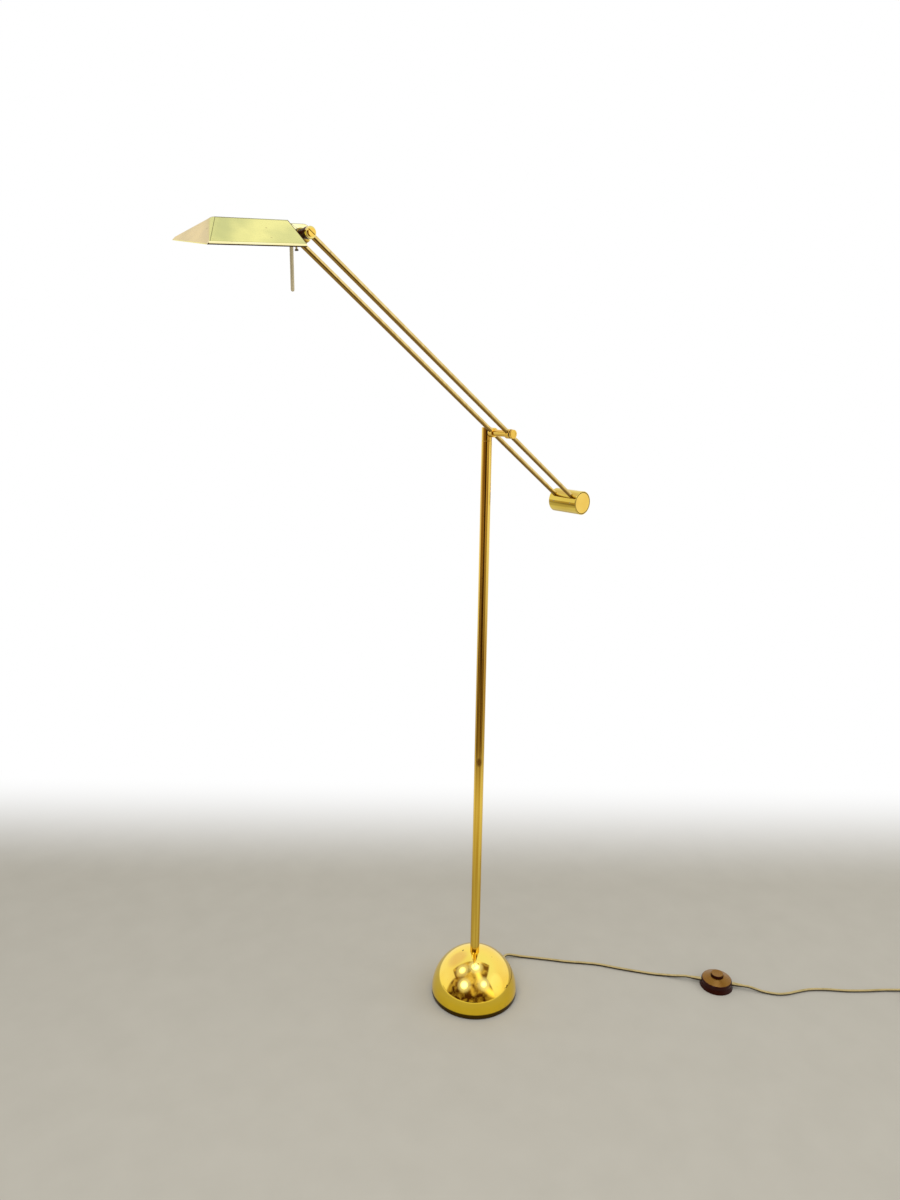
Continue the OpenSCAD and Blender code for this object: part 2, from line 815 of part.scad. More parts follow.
module counterweight() {
    half = weight_len / 2;
    color(brass) at_weight() difference() {
        along_axle(-half, half, weight_r);
        for (side = [-1, 1]) {
            translate([0, -side * half, 0]) along_axle(-cap_t, cap_t, cap_d / 2 + fit_gap);
            translate([0, -side * rod_spacing / 2, 0]) {
                along_x(-weight_r - 1, -weight_r + weight_seat, socket_r);
                translate([-weight_r + weight_seat / 2, 0, -weight_r])
                    cylinder(h = weight_r, r = weight_grub_d / 2 + fit_gap);
            }
        }
    }
}

module counterweight_caps() {
    half = weight_len / 2;
    color(brass) at_weight() {
        along_axle(half - cap_t + fit_gap, half, cap_d / 2);
        along_axle(-half, -half + cap_t - fit_gap, cap_d / 2);
    }
}

module counterweight_grubs() {
    color(steel) at_weight() for (side = [-1, 1])
        translate([-weight_r + weight_seat / 2, -side * rod_spacing / 2, -rod_r - fit_gap - weight_grub_len])
            cylinder(h = weight_grub_len, r = weight_grub_d / 2);
}

module clamp_knob() {
    color(brass) at_axle() difference() {
        along_axle(knob_in, knob_out, knob_d / 2);
        along_axle(knob_in - 1, knob_out + 1, axle_r + run_gap);
        for (i = [0:knob_grooves - 1]) rotate([0, 360 * i / knob_grooves, 0])
            translate([knob_d / 2, 0, 0]) along_axle(knob_in + 0.8, knob_out - 0.8, knob_groove_d / 2);
    }
}

module neck_block() {
    color(brass) on_neck() difference() {
        union() {
            along_axle(-neck_w / 2, neck_w / 2, neck_r);
            translate([-neck_face, -neck_w / 2, -neck_r]) cube([neck_face, neck_w, neck_d]);
        }
        along_axle(-neck_w, neck_w, head_axle_r + run_gap);
        along_x(-neck_face - 1, -stem_back, stem_d / 2 + fit_gap);
        at_handle() translate([0, 0, -handle_seat]) cylinder(h = 2 * handle_seat, r = handle_d / 2 + fit_gap);
        at_neck_screw() cylinder(h = neck_screw_seat, r = neck_screw_d / 2 + fit_gap);
    }
}

module neck_bushes() {
    outer = middle_out - hub_far_out - face_gap;
    inner = neck_w / 2 + fit_gap;
    color(black_plastic) on_neck() for (side = [-1, 1]) rotate([0, 0, side < 0 ? 180 : 0]) difference() {
        along_axle(inner, outer, neck_bush_d / 2);
        along_axle(inner - 1, outer + 1, head_axle_r + run_gap);
    }
}

// Place of the lock screw under the neck
module at_neck_screw() {
    translate([-neck_screw_forward, 0, -neck_r]) children();
}

module neck_screw() {
    head_h = 3;
    color(black_plastic) on_neck() at_neck_screw() {
        translate([0, 0, -neck_screw_len]) cylinder(h = head_h, r = neck_screw_d / 2 + 0.8);
        translate([0, 0, -neck_screw_len])
            cylinder(h = neck_screw_len + neck_screw_seat - fit_gap, r = neck_screw_d / 2);
    }
}

// Place of the handle under the neck, leaning forwards
module at_handle() {
    translate([-handle_forward, 0, -neck_r]) rotate([0, handle_lean, 0]) children();
}

module shade_stem() {
    color(steel) on_neck() difference() {
        along_x(-stem_front + fit_gap, -stem_back - fit_gap, stem_d / 2);
        along_x(-stem_front - 1, -stem_back + 1, stem_bore / 2);
    }
}

module stem_nut() {
    nut_out = stem_nut_in + stem_flange_t + stem_nut_t;
    color(steel) on_neck() difference() {
        union() {
            along_x(-stem_nut_in - stem_flange_t, -stem_nut_in, stem_flange_d / 2);
            translate([-nut_out, 0, 0]) rotate([0, 90, 0])
                cylinder(h = stem_nut_t, r = stem_nut_flats / 2 / cos(30), $fn = 6);
        }
        along_x(-nut_out - 1, -stem_nut_in + 1, stem_d / 2 + fit_gap);
    }
}

// Two places for the bulb's pins
module at_pins() {
    for (side = [-1, 1]) translate([0, side * pin_pitch / 2, 0]) children();
}

module lampholder() {
    color("#e6e1d4") on_neck() difference() {
        along_x(-holder_out, -holder_in, holder_d / 2);
        along_x(-stem_front, -holder_in + 1, stem_d / 2 + fit_gap);
        at_pins() along_x(-holder_out - 1, -holder_out + pin_seat, pin_d / 2 + fit_gap);
    }
}

module bulb() {
    pinch_len = 7;
    pinch_t = 4;
    radius = bulb_d / 2;
    color("#e9f1f4", 0.5) on_neck() difference() {
        union() {
            translate([-bulb_in - pinch_len - 1, -radius + 1, -pinch_t / 2])
                cube([pinch_len + 1, bulb_d - 2, pinch_t]);
            along_x(-bulb_in - bulb_len + radius, -bulb_in - pinch_len, radius);
            translate([-bulb_in - bulb_len + radius, 0, 0]) sphere(r = radius);
        }
        at_pins() along_x(-bulb_in - 4, -bulb_in + 1, pin_d / 2 + fit_gap);
    }
}

module bulb_pins() {
    color(steel) on_neck() at_pins()
        along_x(-bulb_in - 4 + fit_gap, -holder_out + pin_seat - fit_gap, pin_d / 2);
}

module handle_rod() {
    tip = handle_len - neck_r - handle_d / 2;
    color(brass) on_neck() at_handle() translate([0, 0, -tip]) {
        cylinder(h = tip + handle_seat - fit_gap, r = handle_d / 2);
        sphere(r = handle_d / 2);
    }
}

// Roof section of the shade, inset by a wall
module roof_section(inset, low) {
    half = shade_w / 2 - inset;
    ridge = shade_top - inset / cos(roof_angle);
    eave = ridge - half * tan(roof_angle);
    polygon([[-half, low], [-half, eave], [0, ridge], [half, eave], [half, low]]);
}

// Roof with upright lips and a sloping outer end, inset by a wall
module roof(inset, low, back) {
    front = neck_reach + shade_len - inset;
    ridge = shade_top - inset / cos(roof_angle);
    hip_foot = neck_reach + shade_len - inset / sin(hip_angle);
    eave = shade_low + shade_end_lip;
    front_eave = eave + (hip_foot - front) * tan(hip_angle);
    ridge_end = hip_foot - (ridge - eave) / tan(hip_angle);
    intersection() {
        translate([-front, 0, 0]) rotate([90, 0, 90]) linear_extrude(front - back) roof_section(inset, low);
        rotate([90, 0, 0]) linear_extrude(2 * shade_w, center = true)
            polygon([[-back, low], [-back, ridge], [-ridge_end, ridge], [-front, front_eave], [-front, low]]);
    }
}

module shade_shell() {
    color(brass) on_shade() difference() {
        roof(0, shade_low, neck_reach);
        roof(shade_wall, shade_low - 1, neck_reach - 1);
    }
}

module shade_rear_plate() {
    color(brass) on_shade() difference() {
        translate([-plate_front, 0, 0]) rotate([90, 0, 90]) linear_extrude(shade_wall)
            roof_section(shade_wall + fit_gap, shade_low);
        along_x(-plate_front - 1, -neck_reach + 1, stem_d / 2 + run_gap);
    }
}

// Two places for the switch's screws, beside the cord
module at_switch_screws() {
    for (side = [-1, 1]) translate([0, side * switch_screw_out, 0]) children();
}

// Two places where the cord enters the switch, seen as leaving along +X
module at_switch_ends() {
    for (turn = [0, 180]) rotate([0, 0, turn]) translate([0, 0, relief_h]) children();
}

module switch_base() {
    color(brown_plastic) at_switch() difference() {
        cylinder(h = switch_base_h, r1 = switch_r + switch_flare, r2 = switch_r);
        translate([0, 0, switch_wall]) cylinder(h = switch_base_h, r = switch_r - switch_wall);
        at_switch_ends() {
            along_x(switch_r - 2 * switch_wall, switch_r + 1, cord_r + 1);
            along_x(switch_r, switch_r + switch_flare + 1, relief_d / 2 + loose_gap);
        }
        at_switch_screws() translate([0, 0, -fit_gap])
            countersunk(switch_screw_d + 2 * fit_gap, switch_wall + 1);
    }
}

// Height of the cover's sloping top at a distance from the middle
function cover_top(r) = switch_h - (r - button_flange_r) * tan(cover_slope);

module switch_cover() {
    edge = 3;
    inner = switch_r - switch_wall;
    boss_r = switch_screw_d / 2 + 2;
    boss_top = cover_top(switch_screw_out + boss_r) - switch_wall / 2;
    slope_out = [sin(cover_slope), cos(cover_slope)];
    edge_at = [switch_r - edge, cover_top(switch_r - edge + edge * slope_out.x) - edge * slope_out.y];
    color(brown_plastic) at_switch() difference() {
        union() {
            rotate_extrude($fn = 96) difference() {
                polygon([
                    [0, switch_base_h], [switch_r, switch_base_h], [switch_r, cover_top(switch_r)],
                    [button_flange_r, switch_h], [0, switch_h]
                ]);
                polygon([
                    [0, switch_base_h - 1], [inner, switch_base_h - 1],
                    [inner, cover_top(inner) - switch_wall],
                    [button_flange_r, switch_h - switch_wall], [0, switch_h - switch_wall]
                ]);
                difference() {
                    polygon([
                        edge_at, edge_at + [edge + 1, 0], [switch_r + 1, cover_top(switch_r) + 1],
                        edge_at + (edge + 1) * slope_out
                    ]);
                    translate(edge_at) circle(r = edge);
                }
            }
            at_switch_screws() translate([0, 0, switch_wall + face_gap])
                cylinder(h = boss_top - switch_wall - face_gap, r = boss_r);
        }
        cylinder(h = switch_h + 1, r = button_r + loose_gap);
        at_switch_ends() along_x(switch_r - 2 * switch_wall, switch_r + 1, cord_r + 1);
        at_switch_screws() cylinder(h = switch_base_h + 1, r = switch_screw_d / 2 + fit_gap);
    }
}

module switch_mechanism() {
    box_len = 26;
    box_w = 18;
    color("#d8d3c6") at_switch() translate([-box_len / 2, -box_w / 2, switch_wall])
        cube([box_len, box_w, mechanism_top - switch_wall]);
}

module switch_screws() {
    color(steel) at_switch() at_switch_screws() countersunk(switch_screw_d, switch_base_h);
}

module switch_button() {
    crown = 1.5;
    flange_t = 2;
    top = switch_h + button_proud;
    color(brown_plastic) at_switch() union() {
        translate([0, 0, button_flange_top - 1])
            cylinder(h = top - crown - button_flange_top + 1, r = button_r);
        translate([0, 0, top - crown]) cylinder(h = crown, r1 = button_r, r2 = button_r - crown);
        translate([0, 0, button_flange_top - flange_t]) cylinder(h = flange_t, r = button_flange_r);
        translate([0, 0, mechanism_top + button_travel + loose_gap])
            cylinder(h = button_flange_top - mechanism_top - button_travel - loose_gap, r = button_r / 2);
    }
}

module switch_reliefs() {
    color(cord_gold) at_switch() at_switch_ends() {
        along_x(switch_r - switch_wall, relief_out, cord_r + 1 - fit_gap);
        translate([relief_out, 0, 0]) rotate([0, 90, 0])
            cylinder(h = relief_len, r1 = relief_d / 2, r2 = cord_r + 1);
    }
}

module cord_base_run() {
    color(cord_gold) tube(smooth(base_route, 2), cord_r, run_sides);
}

module cord_plug_run() {
    color(cord_gold) tube(smooth(plug_route, 2), cord_r, run_sides);
}

module cord_coil() {
    color(cord_gold) tube(coil_path, cord_r, loop_sides);
}

module cord_tail() {
    color(cord_gold) tube(smooth(tail_route, 2), cord_r, run_sides);
}

module cord_tie() {
    slack = 0.5;
    near = coil_inner - cord_r - slack;
    far = coil_outer + cord_r + slack;
    low = coil_z_low - cord_r - slack + fit_gap;
    high = coil_z_high + cord_r + slack;
    color(black_plastic) translate([each coil_center, 0]) rotate([0, 0, coil_heading - 90])
        rotate([90, 0, 0]) linear_extrude(tie_w, center = true) difference() {
            translate([near - tie_t, low - tie_t]) square([far - near + 2 * tie_t, high - low + 2 * tie_t]);
            translate([near, low]) square([far - near, high - low]);
        }
}

module plug_body() {
    shoulder = 8;
    corner = 3;
    half = plug_w / 2;
    front = plug_relief + plug_len;
    color(black_plastic) at_plug() difference() {
        union() {
            rotate([0, 90, 0]) cylinder(h = plug_relief + 1, r1 = cord_r + 1, r2 = plug_t / 2 - 1);
            translate([0, 0, -plug_t / 2]) linear_extrude(plug_t) polygon([
                [plug_relief, -half + shoulder], [plug_relief + shoulder, -half], [front - corner, -half],
                [front, -half + corner / 2], [front, half - corner / 2], [front - corner, half],
                [plug_relief + shoulder, half], [plug_relief, half - shoulder]
            ]);
        }
        at_plug_pins() along_x(front - 10, front + 1, plug_pin_d / 2 + fit_gap);
    }
}

// Two places for the plug's pins
module at_plug_pins() {
    for (side = [-1, 1]) translate([0, side * plug_pin_pitch / 2, 0]) children();
}

module plug_pins() {
    front = plug_relief + plug_len;
    color(brass) at_plug() at_plug_pins() {
        along_x(front - 10 + fit_gap, front + plug_pin_len - plug_pin_d / 2, plug_pin_d / 2);
        translate([front + plug_pin_len - plug_pin_d / 2, 0, 0]) sphere(r = plug_pin_d / 2);
    }
}

base_felt();
base_plate();
base_screws();
base_shell();
ballast();
transformer();
clamp_dish();
spacer_tube();
tie_rod();
tie_nut();
cord_gland();
pole_foot_plug();
pole_tube();
pole_top_bush();
pole_lead();
swivel_washer();
swivel_collar();
swivel_stud();
swivel_clip();
axle();
axle_grub();
friction_washers();
hub_far();
hub_near();
hub_spacer();
upper_rod_far();
upper_rod_near();
lower_rod_far();
lower_rod_near();
head_hub_far();
head_hub_near();
head_axle();
counterweight();
counterweight_caps();
counterweight_grubs();
clamp_knob();
neck_block();
neck_bushes();
neck_screw();
shade_stem();
stem_nut();
lampholder();
bulb();
bulb_pins();
handle_rod();
shade_shell();
shade_rear_plate();
switch_base();
switch_cover();
switch_mechanism();
switch_screws();
switch_button();
switch_reliefs();
cord_base_run();
cord_plug_run();
cord_coil();
cord_tail();
cord_tie();
plug_body();
plug_pins();
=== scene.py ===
"""Looks of the counterbalance floor lamp: camera, cord, metalwork, shade, bulb, foot switch and plug."""

import logging
from dataclasses import dataclass
from enum import Enum

import bmesh
import bpy
import numpy as np
from mathutils import Matrix, Vector


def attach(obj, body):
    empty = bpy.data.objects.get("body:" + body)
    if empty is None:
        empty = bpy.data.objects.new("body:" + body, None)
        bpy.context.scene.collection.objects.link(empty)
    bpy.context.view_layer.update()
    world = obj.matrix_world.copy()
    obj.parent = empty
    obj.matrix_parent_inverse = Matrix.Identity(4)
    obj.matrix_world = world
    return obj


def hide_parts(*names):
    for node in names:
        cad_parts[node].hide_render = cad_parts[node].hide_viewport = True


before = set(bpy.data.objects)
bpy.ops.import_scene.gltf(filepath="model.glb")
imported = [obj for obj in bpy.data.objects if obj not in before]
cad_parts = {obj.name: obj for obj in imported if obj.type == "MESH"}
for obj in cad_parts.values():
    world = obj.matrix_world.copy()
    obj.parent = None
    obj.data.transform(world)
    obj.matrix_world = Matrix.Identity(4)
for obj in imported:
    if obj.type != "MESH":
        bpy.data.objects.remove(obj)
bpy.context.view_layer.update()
MM = 0.001
TURN, QUARTER = 2 * np.pi, np.pi / 2
Pair, Triple = tuple[float, float], tuple[float, float, float]
Tree, Node = bpy.types.NodeTree, bpy.types.Node
log = logging.getLogger("lamp")


class Body(Enum):
    """Bodies of the frame that pieces ride on."""

    STAND = "stand"
    SWIVEL = "swivel"
    ARM = "arm"
    CLAMP = "clamp"
    NECK = "neck"
    SHADE = "shade"
    BUTTON = "button"


class Grain(Enum):
    """Way the metal was worked, with the stretch that it gives fine marks along X, Y and Z."""

    SPUN = (0.15, 0.15, 1.0)
    DRAWN = (1.0, 1.0, 0.012)
    ROLLED = (0.03, 1.0, 1.0)


def linear(code: str) -> tuple[float, ...]:
    """Turn an sRGB hex colour into linear red, green, blue and alpha.

    Args:
        code: colour as "#rrggbb".

    Returns:
        Four linear values, alpha 1.
    """
    srgb = np.array([int(code[i:i + 2], 16) for i in (1, 3, 5)]) / 255
    value = np.where(srgb <= 0.04045, srgb / 12.92, ((srgb + 0.055) / 1.055) ** 2.4)
    return (*value.tolist(), 1.0)


def add(tree: Tree, kind: str, inputs: dict | None = None, **settings) -> Node:
    """Add one node with its settings and its input values or links.

    Args:
        tree: node tree that takes the node.
        kind: node type without its ShaderNode prefix.
        inputs: input name or index, and a value, an output, or a node whose first live output it takes.
        settings: attributes of the node.

    Returns:
        The new node.
    """
    made = tree.nodes.new("ShaderNode" + kind)
    for key, value in settings.items():
        setattr(made, key, value)
    for key, value in (inputs or {}).items():
        if isinstance(value, Node):
            value = next(out for out in value.outputs if out.enabled)
        if isinstance(value, bpy.types.NodeSocket):
            tree.links.new(value, made.inputs[key])
        else:
            made.inputs[key].default_value = value
    return made


def fold(tree: Tree, operation: str, values: list) -> Node:
    """Join several values into one by repeating one operation.

    Args:
        tree: node tree.
        operation: MINIMUM where all have to hold, MAXIMUM where any does.
        values: nodes or outputs to join.

    Returns:
        The last node.
    """
    joined = values[0]
    for value in values[1:]:
        joined = add(tree, "Math", {0: joined, 1: value}, operation=operation)
    return joined


def layered(tree: Tree, colour: tuple | Node, layers: list) -> Node:
    """Lay colours over a first one: each layer takes its share of its own colour and leaves the rest.

    Args:
        tree: node tree.
        colour: first colour, or the node that gives it.
        layers: pairs of a share and a colour.

    Returns:
        The last node.
    """
    for share, over in layers:
        colour = add(tree, "Mix", {0: share, 6: colour, 7: over}, data_type="RGBA")
    return colour


def turn(axis: str, degrees: float) -> np.ndarray:
    """Four by four turn about one axis, in degrees."""
    return np.array(Matrix.Rotation(np.radians(degrees), 4, axis))


def shift(x: float, y: float, z: float) -> np.ndarray:
    """Four by four shift in millimetres."""
    return np.array(Matrix.Translation((x, y, z)))


def ease(t: np.ndarray) -> np.ndarray:
    """Smooth step: with t held between 0 and 1, three of its square less two of its cube."""
    t = np.clip(t, 0, 1)
    return t * t * (3 - 2 * t)


@dataclass(frozen=True)
class Finish:
    """A surface finish and its slot name; each kind makes its own node material once."""

    name: str
    slot: str = "polished_brass"

    def material(self) -> bpy.types.Material:
        """Find the finish's material, or make it on first use.

        Returns:
            The material.
        """
        made = bpy.data.materials.get(self.name)
        if not made:
            made = bpy.data.materials.new(self.name)
            made.use_nodes = True
            made.node_tree.nodes.clear()
            add(made.node_tree, "OutputMaterial", {"Surface": self.shade(made.node_tree)})
        return made

    def shade(self, tree: Tree) -> Node:
        """Build the finish's shader in a tree and return its last node."""
        raise NotImplementedError


@dataclass(frozen=True)
class Brass(Finish):
    """Polished, lacquered brass; sizes in millimetres.

    It gives a clear yellow mirror with a slightly deeper tone in drifting patches, faint marks along the
    way it was worked, and a few small brown tarnished freckles. Where they are given, painted shade darkens
    the underside, a painted floor reflection deepens the tint of the lower end, and painted shade darkens
    the foot. Marks of real polish are finer than a pixel, so they are drawn about 2 mm wide to show.
    """

    tint: str = "#f6d56c"
    deep: str = "#ecc254"
    # Tone of the tarnished freckles and stain spots, and of the painted shade on the foot.
    tarnish_and_shade_tone: str = "#7a4a1c"
    smooth: float = 0.05
    dull: float = 0.13
    grain: Grain = Grain.SPUN
    axis_turn: Triple = (0.0, 0.0, 0.0)
    mark: float = 2.2
    patch: float = 60.0
    freckle: float = 9.0
    spot: Triple | None = None
    spot_size: Triple = (6.0, 6.0, 10.0)
    # Height in millimetres below which the foot is painted dark as shade.
    shaded_foot: float = 0.0
    coat: float = 0.0
    # Tone of the painted shade on faces that look down.
    shaded_underside: str | None = None
    # Tint of the lower end, a painted reflection of the floor, with the span and share of its fade.
    low: str | None = None
    reflected_floor_span: Pair = (62.0, 22.0)
    reflected_floor_share: float = 0.85

    def shade(self, tree: Tree) -> Node:
        """Tint drifts with a noise, roughness follows stretched marks, and stain spots come from thresholds,
        as does the painted shade on the foot.

        Args:
            tree: the material's node tree.

        Returns:
            The shader.
        """
        place = add(tree, "TexCoord").outputs["Object"]
        height = add(tree, "SeparateXYZ", {0: place}).outputs["Z"]
        along = add(tree, "Mapping", {"Vector": place, "Scale": self.grain.value,
                                      "Rotation": np.radians(self.axis_turn).tolist()})
        marks = add(tree, "TexNoise", {"Vector": along, "Scale": 1 / (self.mark * MM), "Detail": 3.0,
                                       "Roughness": 0.6})
        drift = add(tree, "TexNoise", {"Vector": along if self.grain is Grain.DRAWN else place,
                                       "Scale": 1 / (self.patch * MM), "Detail": 2.0})
        specks = add(tree, "TexNoise", {"Vector": place, "Scale": 1 / (self.freckle * MM), "Detail": 2.0})
        stain_and_shade_shares = [add(tree, "MapRange", {"Value": specks, "From Min": 0.72, "From Max": 0.8, "To Max": 0.55})]
        layers = [(add(tree, "MapRange", {"Value": drift, "From Min": 0.38, "From Max": 0.66}), self.deep)]
        # Painted reflection: towards the bottom the tint turns to the floor's reflected tone.
        if self.low:
            start, full = (MM * level for level in self.reflected_floor_span)
            layers.append((add(tree, "MapRange", {"Value": height, "From Min": start, "From Max": full,
                                                  "To Max": self.reflected_floor_share}), self.low))
        # Painted shade: faces that look down take the underside's darker tone.
        if self.shaded_underside:
            facing = add(tree, "SeparateXYZ", {0: add(tree, "TexCoord").outputs["Normal"]}).outputs["Z"]
            layers.append((add(tree, "MapRange", {"Value": facing, "From Min": -0.2, "From Max": -0.45,
                                                  "To Max": 0.9}), self.shaded_underside))
        if self.spot:
            middle, size = ((MM * np.array(v)).tolist() for v in (self.spot, self.spot_size))
            away = add(tree, "VectorMath", {0: place, 1: middle}, operation="SUBTRACT")
            away = add(tree, "VectorMath", {0: away, 1: size}, operation="DIVIDE")
            away = add(tree, "VectorMath", {0: away}, operation="LENGTH")
            stain_and_shade_shares.append(add(tree, "MapRange", {"Value": away, "From Min": 1.1, "From Max": 0.5,
                                                 "To Max": 0.8}))
        # Painted shade: below a height the foot darkens to the stain tone.
        if self.shaded_foot:
            foot = self.shaded_foot * MM
            stain_and_shade_shares.append(add(tree, "MapRange", {"Value": height, "From Min": 1.1 * foot,
                                                 "From Max": 0.9 * foot, "To Max": 0.95}))
        stain_and_shade_share = fold(tree, "MAXIMUM", stain_and_shade_shares)
        layers.append((stain_and_shade_share, self.tarnish_and_shade_tone))
        colour = layered(tree, linear(self.tint), [(share, linear(code)) for share, code in layers])
        gloss = add(tree, "MapRange", {"Value": marks, "From Min": 0.3, "From Max": 0.7,
                                       "To Min": self.smooth, "To Max": self.dull})
        rough = add(tree, "Math", {0: stain_and_shade_share, 1: 0.3, 2: gloss}, operation="MULTIPLY_ADD")
        relief = add(tree, "Bump", {"Height": marks, "Strength": 0.02, "Distance": 0.05 * MM})
        return add(tree, "BsdfPrincipled", {"Base Color": colour, "Metallic": 1.0, "Roughness": rough,
                                            "Normal": relief, "Coat Weight": self.coat,
                                            "Coat Roughness": 0.08})


@dataclass(frozen=True)
class Skin(Finish):
    """Skin of a moulded, glazed, plated or pressed material; sizes in millimetres.

    It gives an even body colour that clouds a little, and a gloss and relief that follow a fine grain.
    Plastic's grain of about 0.4 mm is drawn 1.2 mm wide so that it shows. Each noise has a size and a
    detail, and the relief a strength and a height.
    """

    tint: str = "#241f1c"
    deep: str = "#2f2925"
    smooth: float = 0.2
    dull: float = 0.4
    span: Pair = (0.3, 0.7)
    cloud: Pair = (12.0, 3.0)
    grain: Pair = (1.2, 2.0)
    relief: Pair = (0.15, 0.05)
    patchy: bool = False
    optics: tuple = ()

    def shade(self, tree: Tree) -> Node:
        """Colour follows the clouds, bump the grain, and roughness one of them; what is even is a constant.

        Args:
            tree: the material's node tree.

        Returns:
            The shader.
        """
        place = add(tree, "TexCoord").outputs["Object"]
        cloud, grain = (add(tree, "TexNoise", {"Vector": place, "Scale": 1 / (size * MM), "Detail": detail})
                        for size, detail in (self.cloud, self.grain))
        look = {"Base Color": linear(self.tint), "Roughness": self.dull, **dict(self.optics)}
        if self.deep != self.tint:
            look["Base Color"] = layered(tree, linear(self.tint), [(cloud, linear(self.deep))])
        if self.smooth != self.dull:
            low, high = self.span
            look["Roughness"] = add(tree, "MapRange", {"Value": cloud if self.patchy else grain,
                                                       "From Min": low, "From Max": high,
                                                       "To Min": self.smooth, "To Max": self.dull})
        strength, height = self.relief
        look["Normal"] = add(tree, "Bump", {"Height": grain, "Strength": strength, "Distance": height * MM})
        return add(tree, "BsdfPrincipled", look)


@dataclass(frozen=True)
class Plated(Skin):
    """Plated or cast metal: a soft grey sheen in patches of a few millimetres, rougher where it is darker."""

    tint: str = "#a3a6a8"
    deep: str = "#7c8084"
    smooth: float = 0.25
    dull: float = 0.45
    cloud: Pair = (3.0, 4.0)
    grain: Pair = (0.75, 2.0)
    relief: Pair = (0.2, 0.1)
    patchy: bool = True
    optics: tuple = (("Metallic", 1.0),)


@dataclass(frozen=True)
class Jacket(Finish):
    """Extruded PVC cord jacket with gold pearl pigment.

    It gives a satin pale gold with faint lines along the cord, as an extruder's die leaves, and scuffs. Its
    underside is painted dark as shade. The UV map runs along the cord and around it, in metres.
    """

    tint: str = "#c3af76"
    scuff: str = "#ac9a62"
    # Tone of the painted shade on the underside.
    underside_shade_tone: str = "#2e2206"
    pearl: float = 0.2

    def shade(self, tree: Tree) -> Node:
        """Lines are a noise stretched fifty times along the cord; scuffs are patches 15 mm long.

        Args:
            tree: the material's node tree.

        Returns:
            The shader.
        """
        around = add(tree, "TexCoord").outputs["UV"]
        drawn = add(tree, "Mapping", {"Vector": around, "Scale": (0.02, 1.0, 1.0)})
        lines = add(tree, "TexNoise", {"Vector": drawn, "Scale": 1 / (0.8 * MM), "Detail": 2.0})
        scuffs = add(tree, "TexNoise", {"Vector": around, "Scale": 1 / (15 * MM), "Detail": 4.0})
        worn = add(tree, "MapRange", {"Value": scuffs, "From Min": 0.45, "From Max": 0.75})
        # Painted shade: faces that look down darken towards the underside's shade tone.
        facing = add(tree, "SeparateXYZ", {0: add(tree, "TexCoord").outputs["Normal"]}).outputs["Z"]
        shaded_below = add(tree, "MapRange", {"Value": facing, "From Min": 0.55, "From Max": 0.2})
        colour = layered(tree, linear(self.tint), [(worn, linear(self.scuff)), (shaded_below, linear(self.underside_shade_tone))])
        rough = add(tree, "MapRange", {"Value": lines, "From Min": 0.3, "From Max": 0.7, "To Min": 0.3,
                                       "To Max": 0.5})
        relief = add(tree, "Bump", {"Height": lines, "Strength": 0.2, "Distance": 0.1 * MM})
        return add(tree, "BsdfPrincipled", {"Base Color": colour, "Metallic": self.pearl, "Roughness": rough,
                                            "Normal": relief})


# Spun, drawn, turned and rolled brass: mirrors from deep gold at the foot to greenish pale at the shade.
# The deeper gold low on the dome and the pole is a painted reflection of the floor.
# Dome: its dark stain tone also paints the shade on the foot's skirt.
DOME_BRASS = Brass("spun_brass_dome", tint="#fcdf6a", deep="#f6d05a", tarnish_and_shade_tone="#2c1608", smooth=0.03,
                   dull=0.06, spot=(-14.4, 18.6, 89.6), spot_size=(3.0, 2.0, 2.0), shaded_foot=10.5,
                   low="#fcd72c")
# Pole: its dark drawn streaks are partly drawn grain and partly a painted reflection of the room.
POLE_BRASS = Brass("drawn_brass_pole", tint="#f8d86c", deep="#b4822c", grain=Grain.DRAWN, patch=5.0,
                   spot=(-6.2, -6.5, 500.0), low="#f6cc3c", reflected_floor_span=(700.0, 350.0), reflected_floor_share=0.4)
# Rods: their underside is painted darker, as shade.
ROD_BRASS = Brass("drawn_brass_rods", tint="#e8d08c", deep="#d8bc74", grain=Grain.DRAWN, patch=5.0,
                  axis_turn=(0.0, 54.5, 0.0), shaded_underside="#8a6620")
TURNED_BRASS = Brass("turned_brass_fittings", smooth=0.04, dull=0.09)
WEIGHT_BRASS = Brass("turned_brass_weight", tint="#e2c95c", deep="#d6b84c", smooth=0.04, dull=0.09)
HEAD_BRASS = Brass("turned_brass_head", tint="#f3e28e", deep="#e0cc74", smooth=0.05, dull=0.12)
SHEET_BRASS = Brass("rolled_brass_sheet", tint="#f9ee98", deep="#d0cd84", grain=Grain.ROLLED, smooth=0.12,
                    dull=0.22, coat=0.3)
# Painted reflection: pale bright brass for the shade's lip band and the tongue's flat sides.
BRIGHT_REFLECTION_BRASS = Brass("painted_bright_reflection", tint="#fffac8", deep="#fff4b4", grain=Grain.ROLLED, dull=0.1)
# Painted reflection: dark lines for the shade's ridge and hip fold and the tongue's top edges.
DARK_FOLD_REFLECTION = Brass("painted_dark_fold_line", tint="#a8a468", deep="#8e8650", grain=Grain.ROLLED, smooth=0.2,
                     dull=0.35)
# Tarnished seams, and painted shade in a line along the shade's lower lip and rear edge, over the cut
# edges there too: matt dark brown lines.
EDGE_SHADE_LINE = Skin("painted_edge_shade", tint="#2e1a06", deep="#3a220a", smooth=0.5, dull=0.7,
                optics=(("Specular IOR Level", 0.2),))
GROOVE = Skin("dull_groove", tint="#5a3c12", deep="#4a300c", smooth=0.5, dull=0.7)
